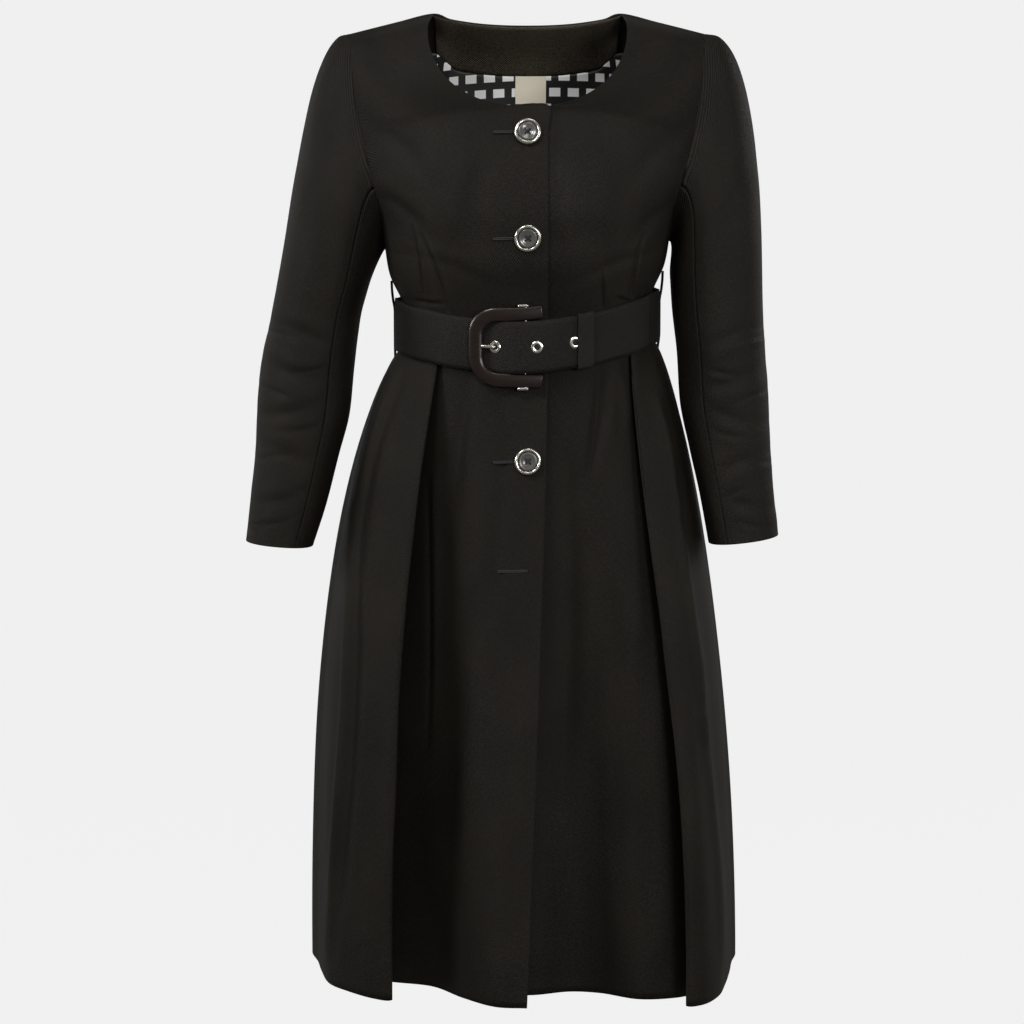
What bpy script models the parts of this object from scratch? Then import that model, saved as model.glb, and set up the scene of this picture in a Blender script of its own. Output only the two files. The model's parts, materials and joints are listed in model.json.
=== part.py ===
"""Belted coat in its worn shape, with no wearer inside.

Metres, +Z up. The front of the coat faces -Y and the wearer's right is at -X. The origin lies midway
between the shoulders, where a wearer carries the coat.
"""

import math

import bmesh
import bpy
import numpy as np


def columns(names, rows):
    """A table as one array for each named column."""
    return {name: np.array([row[place] for row in rows]) for place, name in enumerate(names)}


# Cloth
WALL = 0.0016
INSIDE_WALL = 0.0010
SEAM_GAP = 0.0003
LAP_STEP = 0.0030
RIGHT = -1
LEFT = 1

# Neck and shoulders
NECK_HALF_WIDTH = 0.0970
NECK_POINT = 0.0925
NECK_FRONT_DROP = 0.0815
NECK_SQUARENESS = 2.3
NECK_BACK_HEIGHT = 0.0015
RIDGE_HEIGHT = 0.0127
RIDGE_BREAK = 0.0860
SHOULDER_SLOPE = 0.250
FRONT_CAP = 0.090
BACK_CAP = 0.060
LAP = 0.0195

# Level sections of the bodice
TORSO = columns(
    ("height", "half_width", "front_depth", "back_depth", "squareness"),
    (
        (-0.3300, 0.1250, 0.1003, 0.0868, 2.50),
        (-0.3100, 0.1243, 0.0998, 0.0862, 2.50),
        (-0.2900, 0.1240, 0.0995, 0.0860, 2.50),
        (-0.2610, 0.1252, 0.0998, 0.0866, 2.45),
        (-0.2480, 0.1330, 0.1025, 0.0915, 2.40),
        (-0.2155, 0.1397, 0.1150, 0.1020, 2.30),
        (-0.1880, 0.1465, 0.1190, 0.1065, 2.25),
        (-0.1500, 0.1680, 0.1120, 0.1080, 2.20),
        (-0.1100, 0.1785, 0.0980, 0.1060, 2.20),
        (-0.0700, 0.1830, 0.0860, 0.0980, 2.20),
        (-0.0350, 0.1855, 0.0780, 0.0880, 2.20),
        (0.0150, 0.1870, 0.0720, 0.0780, 2.20),
    ),
)

# Armhole from the armpit up to the shoulder point, as distance from the centre line
ARMHOLE = columns(
    ("height", "front", "back"),
    (
        (-0.2155, 0.1397, 0.1397),
        (-0.1880, 0.1415, 0.1440),
        (-0.1500, 0.1500, 0.1550),
        (-0.1100, 0.1600, 0.1650),
        (-0.0700, 0.1678, 0.1710),
        (-0.0350, 0.1716, 0.1735),
        (-0.0095, 0.1745, 0.1745),
    ),
)

# Level sections of the two sleeves below the armhole: the outer and inner outline, the middle's distance
# in front of the shoulder line and the depth from front to back
SLEEVE_COLUMNS = ("height", "outer", "inner", "forward", "depth")
RIGHT_SLEEVE = columns(
    SLEEVE_COLUMNS,
    (
        (-0.250, 0.2480, 0.1568, 0.004, 0.112),
        (-0.280, 0.2540, 0.1655, 0.006, 0.108),
        (-0.325, 0.2635, 0.1711, 0.010, 0.105),
        (-0.369, 0.2670, 0.1754, 0.016, 0.102),
        (-0.414, 0.2692, 0.1866, 0.022, 0.098),
        (-0.459, 0.2735, 0.1979, 0.028, 0.096),
        (-0.504, 0.2778, 0.2118, 0.034, 0.094),
    ),
)
LEFT_SLEEVE = columns(
    SLEEVE_COLUMNS,
    (
        (-0.250, 0.2325, 0.1415, 0.006, 0.112),
        (-0.280, 0.2330, 0.1432, 0.010, 0.108),
        (-0.325, 0.2350, 0.1480, 0.016, 0.105),
        (-0.369, 0.2378, 0.1505, 0.022, 0.102),
        (-0.414, 0.2394, 0.1595, 0.028, 0.098),
        (-0.459, 0.2420, 0.1700, 0.034, 0.096),
        (-0.506, 0.2475, 0.1790, 0.040, 0.094),
    ),
)
# Strips of cloth round each armhole, at the bodice's front and back and in the upper sleeve
FRONT_ARMHOLE_STRIPS = 12
BACK_ARMHOLE_STRIPS = 10
UPPER_FRONT_STRIPS = 8
UPPER_BACK_STRIPS = 7
SLEEVE_SQUARENESS = 2.2
RIGHT_SLEEVE_REACH = 0.45
LEFT_SLEEVE_REACH = 0.60
CUFF_SLOPE = 0.11

# Skirt
HEM_HEIGHT = -0.9440

# Folds of the skirt's right front, from the lapping edge to the side seam. "waist" and "hem" are distances
# from the centre line towards that side, "stack" is the layer's step out at the waist, "forward" its depth at
# the hem, "drop" how far its hem hangs below the rest, "start" and "ease" bend its way down, and "cells" is
# the number of strips to the next fold.
FOLD_COLUMNS = ("name", "waist", "stack", "hem", "forward", "drop", "start", "ease", "cells")
RIGHT_FOLDS = columns(
    FOLD_COLUMNS,
    (
        ("front edge", -0.0195, 0.0000, 0.0006, 0.1635, 0.0005, 1.3, 1.0, 2),
        ("centre swell", 0.0100, 0.0000, 0.0290, 0.1590, 0.0005, 1.2, 1.2, 2),
        ("roll", 0.0400, 0.0000, 0.0610, 0.1285, 0.0000, 1.0, 1.6, 2),
        ("hollow", 0.0660, -0.0008, 0.0940, 0.0835, 0.0000, 1.0, 2.2, 2),
        ("underlay", 0.0860, -0.0022, 0.1280, 0.0695, 0.0000, 1.0, 2.4, 2),
        ("inner fold in", 0.1070, -0.0022, 0.1580, 0.0600, 0.0000, 1.0, 2.4, 1),
        ("inner fold", 0.1110, -0.0011, 0.1640, 0.0650, 0.0000, 1.0, 2.4, 1),
        ("inner fold out", 0.1070, 0.0000, 0.1590, 0.0735, 0.0000, 1.0, 2.4, 2),
        ("pleat edge in", 0.0892, 0.0000, 0.1352, 0.1275, 0.0000, 1.0, 2.4, 1),
        ("pleat edge", 0.0865, 0.0011, 0.1320, 0.1340, 0.0000, 1.0, 2.4, 1),
        ("pleat edge out", 0.0892, 0.0022, 0.1353, 0.1370, 0.0000, 1.0, 2.4, 1),
        ("side panel", 0.1000, 0.0022, 0.1510, 0.1280, 0.0000, 1.0, 2.4, 2),
        ("side turn", 0.1110, 0.0020, 0.1750, 0.1030, 0.0000, 0.9, 2.4, 2),
        ("side fall", 0.1185, 0.0012, 0.1945, 0.0750, 0.0000, 0.80, 2.3, 1),
        ("side ridge", 0.1225, 0.0004, 0.2065, 0.0220, 0.0000, 0.75, 2.3, 1),
        ("side seam", 0.1240, 0.0000, 0.2100, 0.0000, 0.0000, 0.75, 2.3, 0),
    ),
)
LEFT_FOLDS = columns(
    FOLD_COLUMNS,
    (
        ("under edge", -0.0195, -0.0030, -0.0360, 0.1100, 0.0000, 1.3, 1.0, 2),
        ("centre swell", 0.0120, -0.0030, 0.0030, 0.1170, 0.0000, 1.3, 1.0, 2),
        ("hollow", 0.0360, -0.0016, 0.0419, 0.1035, 0.0000, 1.2, 1.2, 2),
        ("roll", 0.0580, -0.0004, 0.0711, 0.1085, 0.0000, 1.2, 1.6, 2),
        ("gather", 0.0800, -0.0002, 0.1094, 0.1315, 0.0000, 1.4, 2.2, 2),
        ("underlay", 0.0960, -0.0022, 0.1470, 0.1250, 0.0000, 1.5, 2.5, 2),
        ("inner fold in", 0.1080, -0.0022, 0.1760, 0.1020, 0.0000, 1.5, 2.5, 1),
        ("inner fold", 0.1115, -0.0011, 0.1820, 0.1070, 0.0000, 1.5, 2.5, 1),
        ("inner fold out", 0.1080, 0.0000, 0.1770, 0.1155, 0.0000, 1.5, 2.5, 2),
        ("pleat edge in", 0.1016, 0.0000, 0.1570, 0.1500, 0.0000, 1.5, 2.5, 1),
        ("pleat edge", 0.0995, 0.0011, 0.1535, 0.1555, 0.0000, 1.5, 2.5, 1),
        ("pleat edge out", 0.1016, 0.0022, 0.1570, 0.1585, 0.0000, 1.5, 2.5, 1),
        ("side panel", 0.1085, 0.0022, 0.1705, 0.1500, 0.0000, 1.4, 2.5, 2),
        ("side turn", 0.1160, 0.0016, 0.1860, 0.1200, 0.0000, 1.1, 2.2, 2),
        ("side fall", 0.1205, 0.0008, 0.1955, 0.0760, 0.0000, 0.85, 1.9, 2),
        ("side ridge", 0.1232, 0.0003, 0.2040, 0.0220, 0.0000, 0.75, 1.75, 1),
        ("side seam", 0.1240, 0.0000, 0.2065, 0.0000, 0.0000, 0.75, 1.75, 0),
    ),
)

# Flutes of the skirt's back, from the right side seam to the left. "angle" is the place on the waist in
# degrees from the centre back, "hem" and "behind" are the place at the hem.
BACK_FLUTES = columns(
    ("name", "angle", "hem", "behind", "start", "ease", "cells"),
    (
        ("right seam", -90, -0.2100, 0.0000, 0.75, 2.3, 1),
        ("right swell in", -84, -0.2122, 0.0140, 0.75, 2.3, 1),
        ("right swell", -75, -0.2205, 0.0600, 0.75, 2.3, 2),
        ("right turn", -64, -0.2020, 0.1050, 0.9, 2.2, 2),
        ("right fall", -50, -0.1600, 0.1340, 1.0, 2.0, 2),
        ("right ridge", -36, -0.1160, 0.1530, 1.0, 1.8, 2),
        ("right hollow", -23, -0.0760, 0.1490, 1.0, 1.8, 2),
        ("centre right ridge", -11, -0.0370, 0.1670, 1.0, 1.6, 2),
        ("centre hollow", 0, 0.0000, 0.1590, 1.0, 1.6, 2),
        ("centre left ridge", 11, 0.0370, 0.1660, 1.0, 1.6, 2),
        ("left hollow", 23, 0.0750, 0.1480, 1.0, 1.8, 2),
        ("left ridge", 36, 0.1140, 0.1530, 1.0, 1.8, 2),
        ("left fall", 50, 0.1560, 0.1330, 1.0, 2.0, 2),
        ("left turn", 64, 0.1960, 0.1030, 0.9, 2.0, 2),
        ("left swell", 75, 0.2145, 0.0560, 0.75, 1.75, 1),
        ("left swell in", 84, 0.2085, 0.0140, 0.75, 1.75, 1),
        ("left seam", 90, 0.2065, 0.0000, 0.75, 1.75, 0),
    ),
)

# Belt, measured along the waist from the centre front, out from the waist's ring and up from its middle line
BELT_WIDTH = 0.0500
WAIST_SEAM_UP = 0.0175
BELT_WALL = 0.0024
BELT_SIDE_HEIGHT = -0.2885
BELT_FRONT_DIP = 0.0230
BELT_BACK_RISE = 0.0120
WAIST_LEAN = 0.0045
BELT_RING = -0.2900
BELT_OUT = 0.0062
BELT_END = 0.0030
TONGUE_END = 0.1240
TONGUE_OUT = 0.0091
UNDER_FRAME_OUT = 0.0044
OVER_BAR_OUT = 0.0113
KEEPER_PLACE = 0.0535
KEEPER_WIDTH = 0.0145
KEEPER_WALL = 0.0013
KEEPER_LOW = 0.0032
KEEPER_HIGH = 0.0130
CARRIER_WIDTH = 0.0070
CARRIER_WALL = 0.0012
CARRIER_TOP = -0.2460
CARRIER_FOOT = -0.3240

# Buckle and eyelets
FRAME_LEFT = -0.0487
FRAME_RIGHT = 0.0135
FRAME_HALF_HEIGHT = 0.0315
FRAME_CORNER = 0.0150
FRAME_WIDTH = 0.0118
FRAME_BACK = 0.0060
FRAME_WALL = 0.0052
BAR_PLACE = -0.0020
BAR_OUT = 0.0082
BAR_RADIUS = 0.0015
BAR_HALF_LENGTH = 0.0390
PRONG_RADIUS = 0.0013
EYELET_PLACES = (-0.0305, 0.0087, 0.0443)
EYELET_HOLE = 0.0027
EYELET_RADIUS = 0.0058
EYELET_WALL = 0.0006

# Buttons
BUTTON_HEIGHTS = (-0.1070, -0.2070, -0.4215)
BUTTON_RADIUS = 0.0135
BUTTON_FACE_RADIUS = 0.0092
BUTTON_WALL = 0.0048

# Inside of the neck
LABEL_WIDTH = 0.0310
LABEL_HEIGHT = 0.0480
LABEL_MIDDLE = 0.0040


def smooth(keys, values, at):
    """Monotone cubic through a table's values, its keys in rising order."""
    step = np.diff(keys)
    rise = np.diff(values) / step
    slope = np.empty(len(values))
    slope[0] = rise[0]
    slope[-1] = rise[-1]
    same_way = rise[:-1] * rise[1:] > 0
    total = np.where(same_way, rise[:-1] + rise[1:], 1.0)
    slope[1:-1] = np.where(same_way, 2 * rise[:-1] * rise[1:] / total, 0.0)
    at = np.clip(np.asarray(at, float), keys[0], keys[-1])
    spot = np.clip(np.searchsorted(keys, at) - 1, 0, len(step) - 1)
    share = (at - keys[spot]) / step[spot]
    far = share * share * (3 - 2 * share)
    near_pull = share * (1 - share) ** 2
    far_pull = share * share * (share - 1)
    bend = slope[spot] * near_pull + slope[spot + 1] * far_pull
    return values[spot] * (1 - far) + values[spot + 1] * far + step[spot] * bend


def ramp(low, high, at):
    """Soft step from 0 at low to 1 at high."""
    share = np.clip((np.asarray(at, float) - low) / (high - low), 0, 1)
    return share * share * (3 - 2 * share)


def curve_through(points, cells):
    """Smooth curve through points (n, 3), with the given number of strips between each pair."""
    gaps = np.sqrt(np.linalg.norm(np.diff(points, axis=0), axis=1))
    slopes = np.diff(points, axis=0) / gaps[:, None]
    pulls = np.empty_like(points)
    pulls[0] = slopes[0]
    pulls[-1] = slopes[-1]
    before = gaps[:-1, None]
    after = gaps[1:, None]
    pulls[1:-1] = (slopes[:-1] * after + slopes[1:] * before) / (before + after)
    out = []
    for place, gap in enumerate(gaps):
        for cell in range(int(cells[place])):
            t = cell / cells[place]
            start = points[place] * (2 * t**3 - 3 * t**2 + 1) + pulls[place] * gap * (t**3 - 2 * t**2 + t)
            end = points[place + 1] * (3 * t**2 - 2 * t**3) + pulls[place + 1] * gap * (t**3 - t**2)
            out.append(start + end)
    out.append(points[-1])
    return np.array(out)


def waist_dip(angle, back):
    """How far the waist's own level lies above its level at the sides."""
    share = np.cos(angle) ** 2
    return BELT_BACK_RISE * share if back else -BELT_FRONT_DIP * share


def belt_level(angle, back):
    """Height of the belt's middle line."""
    return BELT_SIDE_HEIGHT + waist_dip(angle, back)


def belt_top(angle, back):
    """Height just above the belt's upper edge."""
    return belt_level(angle, back) + BELT_WIDTH / 2 + 0.0015


def waist_seam(angle, back):
    """Height of the seam between bodice and skirt, which lies under the belt."""
    return belt_level(angle, back) + WAIST_SEAM_UP


def ridge(across):
    """Height of the shoulder line at a distance from the centre."""
    beyond = np.abs(across) - RIDGE_BREAK
    return RIDGE_HEIGHT - SHOULDER_SLOPE * 0.5 * (beyond + np.sqrt(beyond**2 + 0.01**2))


def turn_of(drop, cap):
    """Angle of the rounded shoulder at a drop below its ridge, then the drop itself in the same measure."""
    near = np.arccos(np.clip(1 - drop / cap, 0, 1))
    return np.where(drop < cap, near, math.pi / 2 + (drop - cap) / cap)


def drop_of(turn, cap):
    """The drop below the ridge that has this turn."""
    return np.where(turn < math.pi / 2, cap * (1 - np.cos(turn)), cap * (1 + turn - math.pi / 2))


def section(angle, height, back):
    """Half width, depth and squareness of the bodice here, its waist following the belt's dip."""
    level = height - waist_dip(angle, back) * (1 - ramp(-0.250, -0.205, height))
    depth = "back_depth" if back else "front_depth"
    return [smooth(TORSO["height"], TORSO[name], level) for name in ("half_width", depth, "squareness")]


def angle_at(across, height, back):
    """Angle from the centre line of the point at this distance from it."""
    angle = 0.0
    for _ in range(3):
        half_width = section(angle, height, back)[0]
        angle = np.arcsin(np.clip(across / half_width, -1, 1))
    return angle


def torso(angle, height, back=False):
    """Point of the bodice's middle surface."""
    half_width, depth, squareness = section(angle, height, back)
    across = half_width * np.sin(angle)
    fullness = np.clip(1 - np.abs(np.sin(angle)) ** squareness, 0, 1) ** (1 / squareness)
    cap = BACK_CAP if back else FRONT_CAP
    rounding = np.sin(np.minimum(turn_of(np.maximum(ridge(across) - height, 0), cap), math.pi / 2))
    away = SEAM_GAP / 2 + depth * fullness * rounding
    return np.stack([across, away if back else -away, height + 0 * across], axis=-1)


def level_normal(angle, height, back=False):
    """Direction straight out from the bodice's level section."""
    half_width, depth, squareness = section(angle, height, back)
    sine = np.sin(angle)
    fullness = np.clip(1 - np.abs(sine) ** squareness, 0, 1) ** (1 / squareness)
    sideways = np.sign(sine) * np.abs(sine) ** (squareness - 1) / half_width
    outward = fullness ** (squareness - 1) / depth
    normal = np.stack([sideways, outward if back else -outward, 0 * sideways], axis=-1)
    return normal / np.linalg.norm(normal, axis=-1, keepdims=True)


def spaced(path, count, back=False):
    """Points of a path of (angle, height), evenly spaced along the cloth."""
    places = torso(path[:, 0], path[:, 1], back)
    along = np.concatenate([[0], np.cumsum(np.linalg.norm(np.diff(places, axis=0), axis=1))])
    wanted = np.linspace(0, along[-1], count + 1)
    return np.stack([np.interp(wanted, along, path[:, place]) for place in (0, 1)], axis=-1)


def side_path(back, seam_rows, armhole_rows):
    """Side seam from the belt, then the armhole to the shoulder point, as rows of (angle, height)."""
    seam_heights = np.linspace(belt_top(math.pi / 2, back), ARMHOLE["height"][0], 30)
    seam = np.stack([np.full(30, math.pi / 2), seam_heights], axis=-1)
    heights = ARMHOLE["height"][0] + (ARMHOLE["height"][-1] - ARMHOLE["height"][0]) * np.linspace(0, 1, 90)
    across = smooth(ARMHOLE["height"], ARMHOLE["back" if back else "front"], heights)
    heights[-1] = ridge(across[-1])
    angles = angle_at(across, heights, back)
    angles[0] = math.pi / 2
    armhole = np.stack([angles, heights], axis=-1)
    return np.concatenate([spaced(seam, seam_rows, back)[:-1], spaced(armhole, armhole_rows, back)])


def neck_path(edge_rows, neck_rows):
    """Front edge from the belt, then the neckline to the shoulder, as rows of (angle, height)."""
    spread = np.linspace(math.asin(-LAP / NECK_HALF_WIDTH), math.pi / 2, 60)
    across = NECK_HALF_WIDTH * np.sin(spread)
    fullness = np.clip(1 - np.abs(np.sin(spread)) ** NECK_SQUARENESS, 0, 1) ** (1 / NECK_SQUARENESS)
    heights = -NECK_FRONT_DROP * fullness
    across = np.append(across, NECK_POINT)
    heights = np.append(heights, ridge(NECK_POINT))
    neck = np.stack([angle_at(across, heights, False), heights], axis=-1)
    foot = belt_top(neck[0, 0], False)
    edge_heights = np.linspace(foot, heights[0], 40)
    edge = np.stack([angle_at(np.full(40, -LAP), edge_heights, False), edge_heights], axis=-1)
    return np.concatenate([spaced(edge, edge_rows)[:-1], spaced(neck, neck_rows)])


def panel_between(angles, start_turn, end_turn, top, shares, back):
    """Bodice panel from the belt to a top line, between two side edges, with a strip under the belt."""
    cap = BACK_CAP if back else FRONT_CAP
    rows = np.linspace(0, 1, len(angles))[:, None]
    heights = np.full(angles.shape, -0.15)
    for _ in range(6):
        across = section(angles, heights, back)[0] * np.sin(angles)
        foot_turn = turn_of(ridge(across[0]) - belt_top(angles[0], back), cap)
        top_turn = turn_of(np.maximum(ridge(across[-1]) - top(across[-1]), 0), cap)
        between = start_turn[:, None] * (1 - shares) + end_turn[:, None] * shares
        foot_bend = foot_turn - (foot_turn[0] * (1 - shares) + foot_turn[-1] * shares)
        top_bend = top_turn - (top_turn[0] * (1 - shares) + top_turn[-1] * shares)
        turn = between + (1 - rows) ** 2 * foot_bend + rows**2 * top_bend
        heights = ridge(across) - drop_of(np.maximum(turn, 0), cap)
    seam_heights = waist_seam(angles[:1], back) + SEAM_GAP / 2
    strip = torso(angles[:1], seam_heights, back)
    return np.concatenate([strip, torso(angles, heights, back)])


def path_turns(path, back):
    """Turn of each row of a path of (angle, height)."""
    across = torso(path[:, 0], path[:, 1], back)[:, 0]
    return turn_of(np.maximum(ridge(across) - path[:, 1], 0), BACK_CAP if back else FRONT_CAP)


def bodice_front(side, across_cells=10):
    """Middle surface of one bodice front. The left one steps in where it laps under the right one."""
    seam_rows = 2
    neck_rows = 6
    inner = neck_path(seam_rows + FRONT_ARMHOLE_STRIPS - neck_rows, neck_rows)
    outer = side_path(False, seam_rows, FRONT_ARMHOLE_STRIPS)
    shares = np.linspace(0, 1, across_cells + 1)
    angles = inner[:, :1] * (1 - shares) + outer[:, :1] * shares
    grid = panel_between(
        angles,
        path_turns(inner, False),
        path_turns(outer, False),
        ridge,
        shares,
        False,
    )
    if side == LEFT:
        step = LAP_STEP * (1 - ramp(0.024, 0.055, grid[..., 0]))
        grid = moved_out(grid, -step)
    grid[..., 0] *= side
    return grid


def back_top(across):
    """Top of the bodice's back: the neckline, then the shoulder seams."""
    share = np.clip(np.abs(across) / NECK_POINT, 0, 1) ** 2.4
    neckline = NECK_BACK_HEIGHT + (ridge(NECK_POINT) - NECK_BACK_HEIGHT) * share
    return np.where(np.abs(across) < NECK_POINT, neckline, ridge(across))


def bodice_back(shoulder_cells=3, neck_cells=10):
    """Middle surface of the bodice back."""
    outer = side_path(True, 2, BACK_ARMHOLE_STRIPS)
    neck_share = angle_at(NECK_POINT, ridge(NECK_POINT), True) / outer[-1, 0]
    shoulder = np.linspace(-1, -neck_share, shoulder_cells + 1)
    neck = np.linspace(-neck_share, neck_share, neck_cells + 1)
    shares = np.concatenate([shoulder[:-1], neck, -shoulder[::-1][1:]])
    turns = path_turns(outer, True)
    return panel_between(
        outer[:, :1] * shares,
        turns,
        turns,
        back_top,
        (shares + 1) / 2,
        True,
    )


def armhole_ring(side, strips):
    """Points round the armhole, counted in strips from the shoulder, above 0 at the front."""
    front = side_path(False, 1, FRONT_ARMHOLE_STRIPS)[1:]
    back = side_path(True, 1, BACK_ARMHOLE_STRIPS)[1:]
    ring = np.concatenate([torso(back[:, 0], back[:, 1], True), torso(front[:, 0], front[:, 1])[::-1][1:]])
    places = np.arange(len(ring)) - BACK_ARMHOLE_STRIPS
    points = np.stack([np.interp(strips, places, ring[:, axis]) for axis in range(3)], axis=-1)
    points[:, 0] += 0.0008 + 0.0016 * (1 - np.cos(strip_angles(strips))) / 2
    points[:, 0] *= side
    return points


def strip_angles(strips):
    """Angle round the sleeve for places counted in strips: 0 outside, a quarter turn at the front."""
    whole = np.where(strips > 0, FRONT_ARMHOLE_STRIPS, BACK_ARMHOLE_STRIPS)
    return math.pi * strips / whole


def sleeve_section(side, table, angles, height):
    """Ring of one sleeve at a height of its middle line."""
    sizes = [smooth(-table["height"], table[name], -height) for name in SLEEVE_COLUMNS[1:]]
    outer, inner, forward, depth = sizes
    half_width = (outer - inner - WALL) / 2
    half_depth = (depth - WALL) / 2
    cosine = np.cos(angles)
    sine = np.sin(angles)
    power = 2 / SLEEVE_SQUARENESS
    sideways = np.sign(cosine) * np.abs(cosine) ** power * half_width
    frontward = np.sign(sine) * np.abs(sine) ** power * half_depth
    tilt = CUFF_SLOPE * (height - table["height"][0]) / (table["height"][-1] - table["height"][0])
    x = side * ((outer + inner) / 2 + sideways)
    return np.stack([x, -forward - frontward, height + tilt * sideways], axis=-1)


def sleeve_panel(side, table, strips, head_rows=7, arm_rows=8):
    """Middle surface of a sleeve panel over some of the strips round the arm."""
    strips = np.array(strips, float)
    strips[0] += 0.025
    strips[-1] -= 0.025
    angles = strip_angles(strips)
    ring = armhole_ring(side, strips)
    first = sleeve_section(side, table, angles, table["height"][0])
    below = sleeve_section(side, table, angles, table["height"][0] - 0.01) - first
    below /= np.linalg.norm(below, axis=-1, keepdims=True)
    span = np.linalg.norm(first - ring, axis=-1, keepdims=True)
    lean = np.radians(-7 + 62 * ((1 - np.cos(angles)) / 2) ** 2)
    leave = np.stack([side * np.cos(lean), 0 * lean, -np.sin(lean)], axis=-1)
    reach = span * (RIGHT_SLEEVE_REACH if side == RIGHT else LEFT_SLEEVE_REACH)
    rows = []
    for row in range(head_rows):
        t = (row / head_rows) ** 1.15
        near = ring * (2 * t**3 - 3 * t**2 + 1) + leave * reach * (t**3 - 2 * t**2 + t)
        far = first * (3 * t**2 - 2 * t**3) + below * span * (t**3 - t**2)
        rows.append(near + far)
    for height in np.linspace(table["height"][0], table["height"][-1], arm_rows + 1):
        rows.append(sleeve_section(side, table, angles, height))
    return np.array(rows)


def way_down(down, start, ease):
    """Share of a fold's travel from waist to hem at a share of the way down."""
    return 1 - (1 - down**start) ** ease


def skirt_rows(count):
    """Shares of the way down from the belt to the hem."""
    return np.linspace(0, 1, count + 1) ** 1.3


def skirt_panel(angles, stacks, hems, drops, table, back, rows):
    """Middle surface of a skirt panel: at the waist on the bodice's ring, then along each fold to the hem."""
    outward = level_normal(angles, np.full(len(angles), BELT_RING), back) * stacks[:, None]
    belt_foot = belt_level(angles, back) - BELT_WIDTH / 2 - 0.0005
    top = torso(angles, waist_seam(angles, back) - SEAM_GAP / 2, back) + outward
    foot = torso(angles, belt_foot, back) + outward
    lines = [top, (top + foot) / 2]
    for down in skirt_rows(rows):
        share = way_down(down, table["start"], table["ease"])
        line = foot.copy()
        line[:, :2] += (hems - foot[:, :2]) * share[:, None]
        line[:, 2] += (HEM_HEIGHT - drops - belt_foot) * down
        lines.append(line)
    return np.array([curve_through(line, table["cells"]) for line in lines])


def skirt_front(side, table, rows=12):
    """Middle surface of one skirt front with its pleat."""
    angles = angle_at(table["waist"], np.full(len(table["waist"]), BELT_RING), False)
    hems = np.stack([table["hem"], -np.maximum(table["forward"], SEAM_GAP / 2)], axis=-1)
    grid = skirt_panel(angles, table["stack"], hems, table["drop"], table, False, rows)
    grid[..., 0] *= side
    return grid


def skirt_back(rows=12):
    """Middle surface of the skirt back."""
    table = BACK_FLUTES
    angles = np.radians(table["angle"].astype(float))
    hems = np.stack([table["hem"], np.maximum(table["behind"], SEAM_GAP / 2)], axis=-1)
    none = np.zeros(len(angles))
    return skirt_panel(angles, none, hems, none, table, True, rows)


def normals_of(grid, turn):
    """Unit normals of a grid of points (rows, columns, 3), level where front and back meet in a seam."""
    down = np.gradient(grid, axis=0)
    along = np.gradient(grid, axis=1, edge_order=2)
    normal = np.cross(along, down)
    on_seam = np.abs(grid[..., 1]) < SEAM_GAP
    normal[..., 1] = np.where(on_seam, 0, normal[..., 1])
    return turn * normal / np.linalg.norm(normal, axis=-1, keepdims=True)


def moved_out(grid, distance):
    """A grid of points moved away from the coat's upright axis along its normals."""
    return grid + normals_of(grid, outward_turn(grid)) * np.asarray(distance)[..., None]


def outward_turn(grid):
    """The turn that makes a grid's normals point away from the coat's upright axis."""
    row = len(grid) // 2
    return 1 if grid[row, 1, :2] @ normals_of(grid, 1)[row, 1, :2] > 0 else -1


def material(name, colour, roughness, metallic=0.0):
    """A plain surface of one colour."""
    made = bpy.data.materials.new(name)
    made.use_nodes = True
    shader = made.node_tree.nodes["Principled BSDF"]
    shader.inputs["Base Color"].default_value = (*colour, 1)
    shader.inputs["Roughness"].default_value = roughness
    shader.inputs["Metallic"].default_value = metallic
    return made


def black_cloth(name):
    return material(name + "_cloth", (0.011, 0.010, 0.008), 0.85)


def lining_cloth(name):
    return material(name + "_cloth", (0.35, 0.34, 0.33), 0.6)


def label_cloth(name):
    return material(name + "_cloth", (0.75, 0.68, 0.52), 0.8)


def polished_horn(name):
    return material(name + "_horn", (0.028, 0.016, 0.010), 0.18)


def bright_metal(name):
    return material(name + "_metal", (0.66, 0.65, 0.63), 0.25, 1.0)


def smoky_plastic(name):
    return material(name + "_plastic", (0.16, 0.155, 0.15), 0.2)


def leaning(points):
    """The points with the waist let down a little at the wearer's right and up at the left."""
    points = np.array(points, float)
    near_waist = ramp(-0.62, -0.36, points[:, 2]) - ramp(-0.25, -0.12, points[:, 2])
    points[:, 2] += WAIST_LEAN * points[:, 0] / TORSO["half_width"][2] * near_waist
    return points


def solid(name, points, faces, surface):
    """A named object made from points and faces, its faces turned outward."""
    mesh = bpy.data.meshes.new(name)
    mesh.from_pydata([tuple(point) for point in leaning(points)], [], faces)
    work = bmesh.new()
    work.from_mesh(mesh)
    bmesh.ops.recalc_face_normals(work, faces=work.faces)
    work.to_mesh(mesh)
    work.free()
    made = bpy.data.objects.new(name, mesh)
    bpy.context.scene.collection.objects.link(made)
    made.data.materials.append(surface(name))
    return made


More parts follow.
